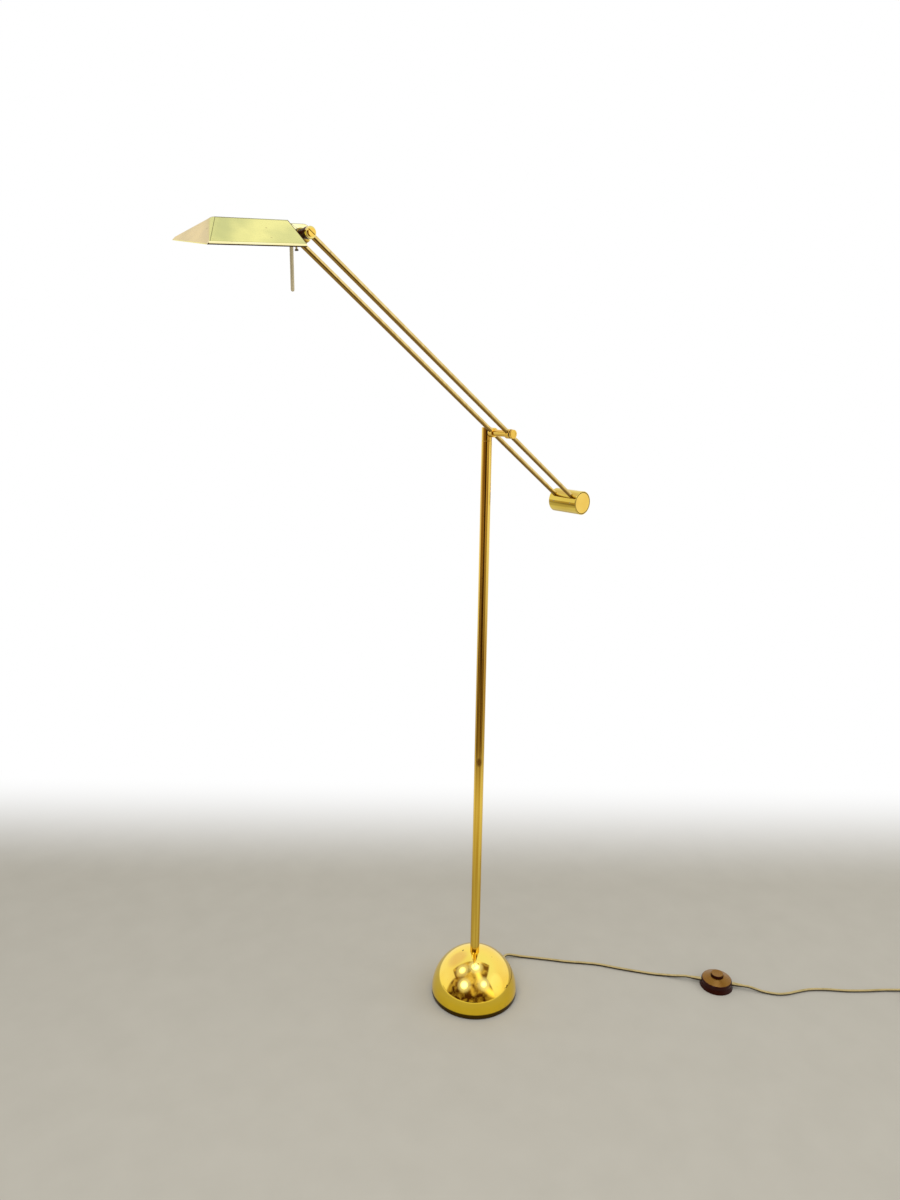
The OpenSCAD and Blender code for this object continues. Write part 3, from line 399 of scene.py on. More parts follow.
# Pale painted reflection for the handle and the screw's shank; enamel and glazed ceramic: pale and softly
# glossy.
PALE_REFLECTION = Skin("pale_painted_reflection", tint="#dccda4", deep="#d2c298", smooth=0.3, dull=0.45)
ENAMEL = Skin("white_enamel", tint="#eeeae0", deep="#e6e1d4", smooth=0.3, dull=0.45)
CERAMIC = Skin("glazed_ceramic", "holder_ceramic", tint="#e8e3d7", deep="#ddd7c8", smooth=0.12, dull=0.3)
# Moulded plastic: even, slightly glossy, black and browns outside and pale inside.
BLACK = Skin("black_moulded_plastic", "black_plastic")
DARK = Skin("dark_brown_plastic", "black_plastic", tint="#54422c", deep="#4a3a26", smooth=0.3, dull=0.45)
BROWN = Skin("brown_moulded_plastic", "brown_plastic", tint="#2b0b05", deep="#340f07", smooth=0.12, dull=0.22,
             optics=(("Specular IOR Level", 0.12),))
# Painted highlight: the lit look of the brown plastic, for the switch's upward faces.
LIT_TOP_BROWN = Skin("brown_plastic_painted_lit_top", "brown_plastic", tint="#8e641c", deep="#845a16", smooth=0.25,
              dull=0.38, optics=(("Metallic", 0.6),))
PALE = Skin("pale_moulded_plastic", tint="#d8d3c6", deep="#cdc7b8")
SLEEVE = Skin("pale_lead_sleeve", tint="#c9c2a8", deep="#bdb698")
# Plain metals: grey zinc plate, rough dark iron, red-brown enamelled wire, fine grey tungsten.
STEEL = Plated("zinc_plated_steel")
IRON = Plated("cast_iron", tint="#57524d", deep="#3a3633", cloud=(2.0, 4.0), grain=(0.5, 2.0), smooth=0.55,
              dull=0.8)
WINDING = Plated("enamelled_copper_winding", tint="#b5652f", deep="#8a4720", cloud=(1.5, 4.0),
                 grain=(0.375, 2.0), smooth=0.3, dull=0.5)
TUNGSTEN = Plated("tungsten_wire", "plain_steel", tint="#8a8a8c", deep="#5e5e60", cloud=(0.5, 4.0),
                  grain=(0.125, 2.0))
# Satin gold cord; matt felt with paler fibre ends and a soft sheen; clear quartz with faint flame ripples.
JACKET = Jacket("gold_pvc_cord", "cord_jacket")
FELT = Skin("black_wool_felt", tint="#151312", deep="#3a3532", smooth=0.95, dull=0.95, cloud=(0.6, 5.0),
            grain=(0.6, 5.0), relief=(0.6, 0.3), optics=(("Sheen Weight", 0.3),))
QUARTZ = Skin("fused_quartz", "bulb_glass", tint="#fbfdfd", deep="#fbfdfd", smooth=0.0, dull=0.06,
              span=(0.0, 1.0), cloud=(3.0, 1.0), grain=(3.0, 1.0), relief=(0.1, 0.1), patchy=True,
              optics=(("IOR", 1.46), ("Transmission Weight", 1.0)))


@dataclass
class Surface:
    """A woven grid: points in millimetres, the quads between them, and a UV in metres at each corner."""

    points: np.ndarray
    quads: np.ndarray
    uv: np.ndarray

    def moved(self, place: np.ndarray) -> "Surface":
        """Return the surface under a four by four placement."""
        return Surface(self.points @ place[:3, :3].T + place[:3, 3], self.quads, self.uv)

    def inward(self) -> "Surface":
        """Return the surface with its faces turned round."""
        return Surface(self.points, self.quads[:, ::-1], self.uv[:, ::-1])

    def outward(self) -> "Surface":
        """Point the faces out of the closed volume, whose sign is that of the sum of all corner products.

        Returns:
            The surface, turned round where that sum is negative.
        """
        a, b, c, d = (self.points[self.quads[:, i]] for i in range(4))
        return self if np.sum(a * np.cross(b, c)) + np.sum(a * np.cross(c, d)) > 0 else self.inward()


def join(parts: list[Surface]) -> Surface:
    """Put several surfaces into one.

    Args:
        parts: surfaces to join.

    Returns:
        One surface with all their points and quads.
    """
    starts = np.cumsum([0] + [len(p.points) for p in parts[:-1]])
    return Surface(np.concatenate([p.points for p in parts]),
                   np.concatenate([p.quads + s for p, s in zip(parts, starts)]),
                   np.concatenate([p.uv for p in parts]))


def weave(grid: np.ndarray) -> Surface:
    """Turn a grid of points into quads, with a UV map that has the mean length of rows and columns.

    Args:
        grid: rows by columns by three, in millimetres.

    Returns:
        The woven surface.
    """
    index = np.arange(grid[..., 0].size).reshape(grid.shape[:2])
    quads = np.stack([index[:-1, :-1], index[:-1, 1:], index[1:, 1:], index[1:, :-1]], axis=-1).reshape(-1, 4)
    down, over = (np.r_[0.0, np.cumsum(np.linalg.norm(np.diff(grid, axis=k), axis=2).mean(axis=1 - k))]
                  for k in (0, 1))
    uv = np.stack(np.meshgrid(down, over, indexing="ij"), axis=-1).reshape(-1, 2) * MM
    return Surface(grid.reshape(-1, 3), quads, uv[quads])


def rounded(corners: list, radii: list | float, steps: int = 6, closed: bool = False) -> np.ndarray:
    """Round the corners of a profile: each corner becomes a conic between two tangent points.

    The tangent points lie a corner's own distance along its two sides, the curve is the rational quadratic
    with the corner as its control, and one more point on each side keeps the flats flat when shaded.

    Args:
        corners: profile points as pairs.
        radii: tangent length of each corner, or one for all.
        steps: points on each curve.
        closed: the profile is a loop; otherwise its ends stay sharp.

    Returns:
        The rounded profile, points by two.
    """
    at = np.array(corners, dtype=float)
    reach = np.broadcast_to(np.array(radii, dtype=float), len(at)).copy()
    back, ahead = np.roll(at, 1, axis=0) - at, np.roll(at, -1, axis=0) - at
    if not closed:
        reach[[0, -1]] = 0.0
        back[0], ahead[-1] = ahead[0], back[-1]
    size_back, size_ahead = np.linalg.norm(back, axis=1), np.linalg.norm(ahead, axis=1)
    reach = np.minimum(reach, 0.45 * np.minimum(size_back, size_ahead))[:, None]
    back, ahead = back / size_back[:, None], ahead / size_ahead[:, None]
    weight = np.sqrt(np.clip((1 - np.einsum("ij,ij->i", back, ahead)) / 2, 0.0, 1.0))[:, None]
    t = np.linspace(0, 1, steps)[None, :]
    a, v, b = (1 - t) ** 2, 2 * weight * t * (1 - t), t ** 2
    start, end = at + reach * back, at + reach * ahead
    curve = a[..., None] * start[:, None] + v[..., None] * at[:, None] + b[..., None] * end[:, None]
    curve = curve / (a + v + b)[..., None]
    before, after = at + 1.1 * reach * back, at + 1.1 * reach * ahead
    return np.concatenate([before[:, None], curve, after[:, None]], axis=1).reshape(-1, 2)


def turned(profile: np.ndarray, sides: int, ring: bool = False) -> np.ndarray:
    """Carry a profile of radius and height round the Z axis: (r cos a, r sin a, h) for a full turn of a.

    Args:
        profile: radius and height pairs; it starts and ends on the axis, or is a loop.
        sides: steps round the turn.
        ring: the profile is a loop.

    Returns:
        Grid of points, profile by angle.
    """
    loop = np.concatenate([profile, profile[:1]]) if ring else profile
    angle = np.linspace(0, TURN, sides + 1)[None, :]
    r, h = loop[:, :1], loop[:, 1:]
    return np.stack([r * np.cos(angle), r * np.sin(angle), h + 0 * angle], axis=-1)


def lathe(profile: np.ndarray, sides: int, place: np.ndarray = np.eye(4), ring: bool = False) -> Surface:
    """Weave a turned profile with its faces outward, and place it."""
    return weave(turned(profile, sides, ring)).outward().moved(place)


def swept(path: np.ndarray, radius: float, sides: int, reference: Triple = (0.0, 0.0, 1.0)) -> Surface:
    """Carry a circle along a path, square to it, and close both ends at their middles.

    Args:
        path: points by three.
        radius: radius of the circle.
        sides: steps round the circle.
        reference: direction that is never along the path, from which the circle starts.

    Returns:
        The closed tube.
    """
    heading = np.gradient(path, axis=0)
    heading /= np.linalg.norm(heading, axis=1)[:, None]
    side = np.cross(heading, np.array(reference))
    side /= np.linalg.norm(side, axis=1)[:, None]
    top = np.cross(side, heading)
    angle = np.linspace(0, TURN, sides + 1)[None, :, None]
    wall = path[:, None] + radius * (np.cos(angle) * side[:, None] + np.sin(angle) * top[:, None])
    ends = np.broadcast_to(path[[0, -1], None], (2, sides + 1, 3))
    return weave(np.concatenate([ends[:1], wall, ends[1:]])).outward()


def flow(points: np.ndarray, steps: int = 8) -> np.ndarray:
    """Smooth curve through points: each stretch is a cubic that passes both ends with even tangents.

    Args:
        points: route points by three.
        steps: points on each stretch.

    Returns:
        The curve's points.
    """
    p = np.concatenate([points[:1], points, points[-1:]])
    a, b, c, d = p[:-3, None], p[1:-2, None], p[2:-1, None], p[3:, None]
    t = (np.arange(steps) / steps)[None, :, None]
    curve = b + 0.5 * t * (c - a + t * (2 * a - 5 * b + 4 * c - d + t * (3 * (b - c) + d - a)))
    return np.concatenate([curve.reshape(-1, 3), points[-1:]])


def length(path: np.ndarray) -> float:
    """Length of a path of points."""
    return float(np.linalg.norm(np.diff(path, axis=0), axis=1).sum())


def slab(outline: np.ndarray, half: float, edge: float) -> Surface:
    """Thicken a convex outline in X and Z to both sides of Y, with its edges rounded.

    Rows step across the thickness: the middle of one face, the outline drawn in by the edge, a quarter
    circle out to the full outline, the same on the other side, and the middle of the other face.

    Args:
        outline: loop of X and Z pairs.
        half: half of the thickness.
        edge: radius of the edges.

    Returns:
        The closed slab.
    """
    ahead = np.roll(outline, -1, axis=0) - np.roll(outline, 1, axis=0)
    normal = np.c_[ahead[:, 1], -ahead[:, 0]] / np.linalg.norm(ahead, axis=1)[:, None]
    middle = outline.mean(axis=0)
    normal *= np.sign(np.einsum("ij,ij->i", normal, outline - middle))[:, None]
    q = np.linspace(0, QUARTER, 6)
    draw_in = np.r_[1.3 * edge, edge * (1 - np.sin(q))]
    level = np.r_[half, half - edge * (1 - np.cos(q))]
    draw_in, level = np.r_[draw_in, draw_in[::-1]], np.r_[level, -level[::-1]]
    loop, away = np.concatenate([outline, outline[:1]]), np.concatenate([normal, normal[:1]])
    flat = loop[None] - draw_in[:, None, None] * away[None]
    grid = np.stack([flat[..., 0], np.broadcast_to(level[:, None], flat.shape[:2]), flat[..., 1]], axis=-1)
    caps = [np.broadcast_to([middle[0], y, middle[1]], (1, len(loop), 3)) for y in (half, -half)]
    return weave(np.concatenate([caps[0], grid, caps[1]])).outward()


def piece(name: str, body: Body, finish: Finish, surface: Surface, *nodes: str, recalculate: bool = False,
          sharp: float = 50.0) -> bpy.types.Object:
    """Make one finished piece: mesh, weld, shading, material, body and the nodes that it stands for.

    Args:
        name: piece name.
        body: body that it rides on.
        finish: finish of the whole piece.
        surface: shape in millimetres, in the part's frame.
        nodes: CAD nodes that it replaces.
        recalculate: make the faces consistent and outward after the weld.
        sharp: angle in degrees past which an edge stays sharp.

    Returns:
        The new object.
    """
    mesh = bpy.data.meshes.new(name)
    mesh.from_pydata((surface.points * MM).tolist(), [], surface.quads.tolist())
    mesh.uv_layers.new(name="UVMap").uv.foreach_set("vector", surface.uv.astype(np.float32).ravel())
    work = bmesh.new()
    work.from_mesh(mesh)
    bmesh.ops.remove_doubles(work, verts=work.verts, dist=2e-7)
    bmesh.ops.dissolve_degenerate(work, edges=work.edges, dist=1e-8)
    if recalculate:
        bmesh.ops.recalc_face_normals(work, faces=work.faces)
    work.to_mesh(mesh)
    work.free()
    mesh.shade_smooth()
    mesh.set_sharp_from_angle(angle=np.radians(sharp))
    mesh.materials.append(finish.material())
    made = bpy.data.objects.new(name, mesh)
    bpy.context.scene.collection.objects.link(made)
    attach(made, body.value)
    if nodes:
        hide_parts(*nodes)
    log.info("piece %s on %s, %d faces", name, body.value, len(mesh.polygons))
    return made


def faces(made: bpy.types.Object, place: np.ndarray) -> tuple[np.ndarray, np.ndarray]:
    """Measure a piece's faces in a sub-assembly's own frame.

    Args:
        made: piece to measure.
        place: frame of the sub-assembly.

    Returns:
        Middles in millimetres and normals, one row per face.
    """
    rows = made.data.polygons
    middle, normal = np.zeros(3 * len(rows), np.float32), np.zeros(3 * len(rows), np.float32)
    rows.foreach_get("center", middle)
    rows.foreach_get("normal", normal)
    home = np.linalg.inv(place)
    return middle.reshape(-1, 3) / MM @ home[:3, :3].T + home[:3, 3], normal.reshape(-1, 3) @ home[:3, :3].T


def paint(made: bpy.types.Object, finish: Finish, chosen: np.ndarray) -> None:
    """Give some faces of a piece another finish.

    Args:
        made: piece to paint.
        finish: finish of the chosen faces.
        chosen: true for each face that takes it.
    """
    mesh = made.data
    index = np.zeros(len(mesh.polygons), np.int32)
    mesh.polygons.foreach_get("material_index", index)
    index[chosen] = len(mesh.materials)
    mesh.materials.append(finish.material())
    mesh.polygons.foreach_set("material_index", index)


def dress(finish: Finish, *nodes: str) -> None:
    """Give CAD nodes that stay as they are a finish.

    Args:
        finish: finish of the nodes.
        nodes: node names.
    """
    for name in nodes:
        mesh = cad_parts[name].data
        mesh.materials.clear()
        mesh.materials.append(finish.material())
        log.info("node %s in %s", name, finish.name)


@dataclass(frozen=True)
class Stance:
    """Sizes and frames that several sub-assemblies share, in millimetres and degrees."""

    axle_height: float = 1104.0
    arm_rise: float = 35.5
    head_reach: float = 470.0
    rod_far: float = 14.4
    rod_near: float = 53.4
    hub_length: float = 10.0
    middle: float = 33.9
    dip: float = 4.0
    roll: float = 8.0
    cord: float = 5.5
    relief_thin: float = 3.75
    switch_at: Triple = (387.0, -308.0, 0.0)
    switch_heading: float = -56.0
    switch_relief: float = 50.1
    switch_parting: float = 8.5
    plug_at: Triple = (722.0, -630.0, 7.0)
    plug_heading: float = -45.0

    def arm(self) -> np.ndarray:
        """Frame on the axle with X down the arm."""
        return shift(0, 0, self.axle_height) @ turn("Y", self.arm_rise)

    def head(self) -> np.ndarray:
        """Frame on the head's axle, level."""
        rise = np.radians(self.arm_rise)
        return shift(-self.head_reach * np.cos(rise), 0, self.axle_height + self.head_reach * np.sin(rise))

    def neck(self) -> np.ndarray:
        """Frame of the neck, midway between the rods."""
        return self.head() @ turn("Y", -self.dip) @ shift(0, -self.middle, 0)

    def shade(self) -> np.ndarray:
        """Frame of the shade, rolled about the stem."""
        return self.neck() @ turn("X", self.roll)

    def switch(self) -> np.ndarray:
        """Frame at the foot switch with X along the cord."""
        return shift(*self.switch_at) @ turn("Z", self.switch_heading)

    def plug(self) -> np.ndarray:
        """Frame at the plug with X from the cord towards the pins."""
        return shift(*self.plug_at) @ turn("Z", self.plug_heading)


STANCE = Stance()


@dataclass
class Studio:
    """Camera at the photograph's viewing angle, pale floor, soft light and a bright room round it.

    An edge of the room is a direction, as shares to the picture's right, to the viewer and up, with the
    two shares of a ray between which its smooth step lies. Metres; colours are linear.
    """

    eye: Triple = (-1.0786, -1.1184, 1.2076)
    right: Triple = (0.74784, -0.66374, 0.01379)
    up: Triple = (0.15539, 0.19519, 0.96838)
    forward: Triple = (0.64544, 0.72205, -0.24911)
    lens: float = 27.0
    sensor: float = 36.0
    clip: Pair = (0.05, 60.0)
    across: Triple = (0.748, -0.664, 0.0)
    viewer: Triple = (-0.666, -0.746, 0.0)
    floor_radius: float = 2.2
    floor_middle: Triple = (-0.25, -0.35, 0.0)
    floor_rings: Triple = (0.0, 0.4, 0.9)
    floor_drop: float = 0.0002
    floor_tones: tuple[str, str] = ("#cac5b8", "#c2bdb0")
    # Fades of the floor: to white at its rim and behind the lamp, to its sheen, and out of reflections.
    fades: tuple = ((1.4, 2.1, "SMOOTHSTEP"), (-0.38, -0.95, "SMOOTHSTEP"), (0.4, 1.0, "LINEAR"),
                    (0.8, 1.2, "LINEAR"))
    # Walls, then what lies over them: ceiling, rosy corner, bright window and ground.
    wall: Triple = (1.0, 0.97, 0.92)
    walls: tuple = ((((0, 0, 1), 0.45, 0.85), (0.96, 1.0, 0.93)),
                    (((-0.53, -0.6, 0.6), 0.9, 0.985), (0.87, 0.76, 0.9)),
                    (((0.88, 0.28, 0.38), 0.9, 0.97), (1.14, 1.14, 1.14)),
                    (((0, 0, -1), 0.1, 0.5), (0.6, 0.56, 0.48)))
    # Dark regions of the viewer's side: overhead, ahead and just below the horizon.
    dark: tuple = ((((0, 1, 0.28), -0.04, 0.04), ((1, 0, 1.3), -0.05, 0.05), ((-1, 0, 0.72), -0.05, 0.05)),
                   (((0, 1, 0), 0.14, 0.26), ((-1, 1.38, 0), -0.06, 0.06)),
                   (((0, 0, -1), -0.01, 0.05), ((0, 0, 1), -0.55, -0.4), ((-0.6, 1, 0), -0.08, 0.08),
                    ((-0.05, 1, 0), -0.08, 0.08)))
    # Clutter's deep and pale tone: low gloom, the glow above it, and dusk at the horizon.
    murk: tuple = (((0.06, 0.022, 0.01), (0.52, 0.4, 0.19)), ((0.2, 0.11, 0.04), (0.85, 0.68, 0.36)),
                   ((0.28, 0.18, 0.08), (0.85, 0.7, 0.42)))
    aloft: tuple = (((0, 0, 1), 0.22, 0.5),)
    horizon: tuple = (((0, 0, 1), -0.27, -0.17), ((0, 0, -1), 0.0, 0.05))
    # A dark upright, a lit slanting beam, and four lit panels with their halos.
    upright: tuple = (((1, 0, 0), -0.46, -0.34), ((-1, 0, 0), -0.14, -0.02), ((0, 1, 0), 0.1, 0.2),
                      ((0, 0, -1), -0.02, 0.04), ((0, 0, 1), -0.4, -0.3))
    beam: tuple = (((0.78, 0, 0.62), 0.52, 0.7), ((-0.78, 0, -0.62), -0.84, -0.72))
    panels: tuple = ((-0.5, 0.07, 0.86), (0.05, 0.01, 1.0), (-0.47, 0.65, 0.6), (0.42, 0.64, 0.64))
    halo_from: float = 0.93
    panel_from: float = 0.982
    upright_tone: Triple = (0.035, 0.01, 0.004)
    beam_tone: Triple = (1.5, 1.3, 0.85)
    halo_tone: Triple = (0.9, 0.95, 1.4)
    panel_tone: Triple = (2.8, 3.0, 4.2)
    ambient: Triple = (0.55, 0.55, 0.55)

    def camera(self) -> None:
        """Set the camera from its eye point and three directions."""
        data = bpy.data.cameras.new("photo_camera")
        data.sensor_width, data.lens = self.sensor, self.lens
        data.clip_start, data.clip_end = self.clip
        axes = np.column_stack([self.right, self.up, -np.array(self.forward), self.eye])
        made = bpy.data.objects.new("photo_camera", data)
        bpy.context.scene.collection.objects.link(made)
        made.matrix_world = Matrix([*axes.tolist(), [0, 0, 0, 1]])
        bpy.context.scene.camera = made

    def floor(self) -> None:
        """A disc under the lamp: rings of growing radius, grey near the lamp and white at its rim."""
        profile = np.array([[r, -self.floor_drop] for r in (*self.floor_rings, self.floor_radius)]) / MM
        surface = weave(turned(profile, 96)).moved(shift(*(v / MM for v in self.floor_middle)))
        mesh = bpy.data.meshes.new("floor")
        mesh.from_pydata((surface.points * MM).tolist(), [], surface.quads.tolist())
        made = bpy.data.objects.new("floor", mesh)
        bpy.context.scene.collection.objects.link(made)
        material = bpy.data.materials.new("pale_floor")
        material.use_nodes = True
        mesh.materials.append(material)
        tree = material.node_tree
        tree.nodes.clear()
        place = add(tree, "TexCoord").outputs["Object"]
        away = add(tree, "VectorMath", {0: place, 1: self.floor_middle}, operation="DISTANCE")
        nearer = add(tree, "VectorMath", {0: place, 1: self.viewer}, operation="DOT_PRODUCT")
        reach = add(tree, "VectorMath", {0: place}, operation="LENGTH")
        edge, back, sheen, out = (
            add(tree, "MapRange", {"Value": value, "From Min": low, "From Max": high},
                interpolation_type=kind)
            for value, (low, high, kind) in zip((away, nearer, reach, reach), self.fades))
        path, far = add(tree, "LightPath"), fold(tree, "MAXIMUM", [edge, back])
        pale, shine, gone = (
            add(tree, "Math", {0: share, 1: path.outputs[ray]}, operation="MULTIPLY")
            for share, ray in ((far, "Is Camera Ray"), (sheen, "Is Glossy Ray"), (out, "Is Glossy Ray")))
        grain = add(tree, "TexNoise", {"Vector": place, "Scale": 14.0, "Detail": 3.0})
        first, second = (linear(code) for code in self.floor_tones)
        matt = add(tree, "BsdfDiffuse", {"Color": layered(tree, first, [(grain, second)])})
        white = add(tree, "Emission", {"Color": (1, 1, 1, 1), "Strength": 1.0})
        near = add(tree, "MixShader", {0: fold(tree, "MAXIMUM", [pale, shine]), 1: matt, 2: white})
        mixed = add(tree, "MixShader", {0: gone, 1: near, 2: add(tree, "BsdfTransparent")})
        add(tree, "OutputMaterial", {"Surface": mixed})

    def lamp(self, name: str, at: Triple, aim: Triple, size: float, power: float) -> None:
        """Add one soft square lamp, unseen in reflections.

        Args:
            name: lamp name.
            at: place in metres.
            aim: point that it faces.
            size: side in metres.
            power: watts.
        """
        data = bpy.data.lights.new(name, "AREA")
        data.size, data.energy = size, power
        made = bpy.data.objects.new(name, data)
        bpy.context.scene.collection.objects.link(made)
        ray = Vector(at) - Vector(aim)
        made.matrix_world = Matrix.Translation(at) @ ray.to_track_quat("Z", "Y").to_matrix().to_4x4()
        made.visible_glossy = False

    def toward(self, tree: Tree, part: Triple, low: float, high: float) -> Node:
        """Smooth step of how far a world ray goes along one direction.

        Args:
            tree: the world's node tree.
            part: direction as shares to the picture's right, to the viewer and up.
            low: share of the ray at which the step starts.
            high: share at which it is full.

        Returns:
            Node that goes from 0 to 1.
        """
        ray = add(tree, "TexCoord").outputs["Generated"]
        aim = np.array(part) @ np.array([self.across, self.viewer, (0, 0, 1)])
        share = add(tree, "VectorMath", {0: ray, 1: aim.tolist()}, operation="DOT_PRODUCT")
        return add(tree, "MapRange", {"Value": share, "From Min": low, "From Max": high},
                   interpolation_type="SMOOTHSTEP")

    def region(self, tree: Tree, edges: tuple) -> Node:
        """Part of the room inside all of some edges."""
        return fold(tree, "MINIMUM", [self.toward(tree, *edge) for edge in edges])

    def room(self) -> None:
        """White round the lamp; metal mirrors a white room that is dark with lit panels behind the viewer."""
        world = bpy.data.worlds.new("room")
        bpy.context.scene.world = world
        world.use_nodes = True
        tree = world.node_tree
        tree.nodes.clear()
        ray = add(tree, "TexCoord").outputs["Generated"]
        clutter = add(tree, "TexNoise", {"Vector": ray, "Scale": 3.2, "Detail": 2.5, "Distortion": 0.5})
        shape = add(tree, "MapRange", {"Value": clutter, "From Min": 0.42, "From Max": 0.68})
        gloom, glow, dusk = (layered(tree, (*deep, 1), [(shape, (*pale, 1))]) for deep, pale in self.murk)
        halos, panels = (
            fold(tree, "MAXIMUM", [self.toward(tree, panel, start, 1.0) for panel in self.panels])
            for start in (self.halo_from, self.panel_from))
        behind = layered(tree, gloom, [(self.region(tree, self.aloft), glow),
                                       (self.region(tree, self.horizon), dusk),
                                       (self.region(tree, self.upright), (*self.upright_tone, 1)),
                                       (self.region(tree, self.beam), (*self.beam_tone, 1)),
                                       (halos, (*self.halo_tone, 1)), (panels, (*self.panel_tone, 1))])
        dark = fold(tree, "MAXIMUM", [self.region(tree, edges) for edges in self.dark])
        light = [(self.toward(tree, *edge), (*colour, 1)) for edge, colour in self.walls]
        mirrored = layered(tree, (*self.wall, 1), [*light, (dark, behind)])
        path = add(tree, "LightPath")
        clear = fold(tree, "MAXIMUM", [path.outputs["Is Camera Ray"], path.outputs["Is Transmission Ray"]])
        shown = layered(tree, (*self.ambient, 1), [(path.outputs["Is Glossy Ray"], mirrored),
                                                   (clear, (1, 1, 1, 1))])
        add(tree, "OutputWorld", {"Surface": add(tree, "Background", {"Color": shown, "Strength": 1.0})})

    def build(self) -> None:
        """Make the camera, the floor, the lamps and the room."""
        bpy.context.scene.view_settings.view_transform = "Standard"
        self.camera()
        self.floor()
        self.lamp("key_softbox", (-1.3, -0.7, 2.7), (0.1, -0.2, 0.3), 1.8, 30.0)
        self.lamp("fill_softbox", (1.6, -1.8, 2.0), (0.1, -0.2, 0.4), 1.6, 12.0)
        self.room()


@dataclass
class Lead:
    """Cord from the foot through the switch to a coil, with the foot's strain relief and the coil's tie."""

    foot_route: tuple = (
        (127, 28.5, 7.6), (138, 21.5, 4.8), (149, 10, 3.1), (163, -6, 2.8), (185, -33, 2.8), (208, -62, 2.8),
        (232, -88, 2.8), (253, -113, 2.8), (273, -145, 2.8), (295, -178, 2.8), (315, -206, 2.8),
        (330, -224, 3.2), (341, -240.5, 5.4))
    plug_route: tuple = (
        (428.5, -370, 6.4), (435.5, -381, 3.9), (443.5, -393, 2.9), (455, -407.5, 2.8), (471, -419, 2.8),
        (492, -429, 2.8), (516, -442, 2.8), (541, -463, 2.8), (569, -492, 2.8), (598, -517, 2.8),
        (627, -539, 2.8), (652, -561, 3.2), (666, -574, 3.8))
    tail_route: tuple = ((706, -614, 9),)
    gland_angle: float = 14.0
    gland_height: float = 9.5
    gland_from: float = 84.1
    gland_to: float = 109.1
    gland_thick: float = 5.2
    gland_inner: float = 4.4
    flange: float = 5.5
    flange_thick: float = 2.0
    rings: int = 6
    ring_depth: float = 0.35
    coil_start: Pair = (682.0, -590.0)
    coil_middle: float = 66.0
    coil_turns: int = 7
    coil_pitch: float = 6.1
    coil_low: float = 4.05
    tie_width: float = 8.0
    tie_thick: float = 0.8
    tie_slack: float = 0.5

    def straight(self, at: tuple, heading: float, height: float, *steps: float) -> np.ndarray:
        """Points in a straight line on the level.

        Args:
            at: start in X and Y.
            heading: direction in degrees.
            height: level of the line.
            steps: distances from the start.

        Returns:
            The points.
        """
        a, out = np.radians(heading), np.array(steps, dtype=float)
        return np.stack([at[0] + out * np.cos(a), at[1] + out * np.sin(a), height + 0 * out], axis=1)

    def foot_path(self) -> np.ndarray:
        """Curve from the foot's strain relief to the switch.

        Returns:
            Its points.
        """
        d, end, to = STANCE.cord, STANCE.switch_relief, self.gland_to
        out = self.straight((0, 0), self.gland_angle, self.gland_height, to, to + d, to + 2.2 * d)
        back = self.straight(STANCE.switch_at, STANCE.switch_heading, STANCE.switch_parting,
                             -end - 2.2 * d, -end - d, -end)
        return flow(np.concatenate([out, self.foot_route, back]))

    def coil_radii(self) -> Pair:
        """Inner and outer radius of the coil at the middle of the cord."""
        half = self.coil_turns * self.coil_pitch / 4
        return self.coil_middle / 2 - half, self.coil_middle / 2 + half

    def coil_centre(self) -> np.ndarray:
        """Middle of the coil, its outer radius to the right of the cord's way in.

        Returns:
            X and Y.
        """
        a = np.radians(STANCE.plug_heading)
        along, across = np.array([np.cos(a), np.sin(a)]), np.array([np.sin(a), -np.cos(a)])
        return np.array(self.coil_start) + STANCE.cord * along + self.coil_radii()[1] * across

    def coil_path(self) -> np.ndarray:
        """Coil: the radius falls by a pitch a turn to the middle turn and grows again one layer up.

        Returns:
            Its points.
        """
        half = self.coil_turns / 2
        u = np.linspace(0, self.coil_turns, 48 * self.coil_turns + 1)
        r = self.coil_radii()[0] + self.coil_pitch * np.abs(u - half)
        a = np.radians(STANCE.plug_heading + 90 - 360 * u)
        x, y = self.coil_centre()
        level = self.coil_low + self.coil_pitch * ease((u - half + 0.25) / 0.5)
        return np.stack([x + r * np.cos(a), y + r * np.sin(a), level], axis=1)

    def plug_path(self) -> np.ndarray:
        """Curve from the switch over the floor, round the coil and on to the plug.

        Returns:
            Its points.
        """
        d, end, way = STANCE.cord, STANCE.switch_relief, STANCE.plug_heading
        out = self.straight(STANCE.switch_at, STANCE.switch_heading, STANCE.switch_parting,
                            end, end + d, end + 2.2 * d)
        into = self.straight(self.coil_start, way, self.coil_low, -d, 0)
        past = self.straight(self.coil_start, way, self.coil_low + self.coil_pitch, 2 * d, 3 * d)
        home = self.straight(STANCE.plug_at, way, STANCE.plug_at[2], -d, 0)
        run, tail = (flow(np.concatenate(parts)) for parts in ((out, self.plug_route, into),
                                                               (past, self.tail_route, home)))
        return np.concatenate([run, self.coil_path(), tail])

    def gland(self) -> Surface:
        """Strain relief: a flange, then a taper whose radius dips in rings.

        Returns:
            The closed relief.
        """
        start, bore = self.gland_from, self.gland_inner
        top = start + self.flange_thick
        t = np.linspace(0, 1, 73)
        ring = self.ring_depth * (1 - t) * (0.5 + 0.5 * np.cos(TURN * self.rings * t)) * (t > 0.04)
        taper = np.c_[self.gland_thick + (STANCE.relief_thin - self.gland_thick) * t - ring,
                      top + (self.gland_to - top) * t]
        flange = rounded([(0, start - 1.5), (bore, start - 1.5), (bore, start), (self.flange, start),
                          (self.flange, top), (self.gland_thick, top)], 0.3)
        place = turn("Z", self.gland_angle) @ shift(0, 0, self.gland_height) @ turn("Y", 90)
        return lathe(np.concatenate([flange, taper, [[0, self.gland_to]]]), 40, place)

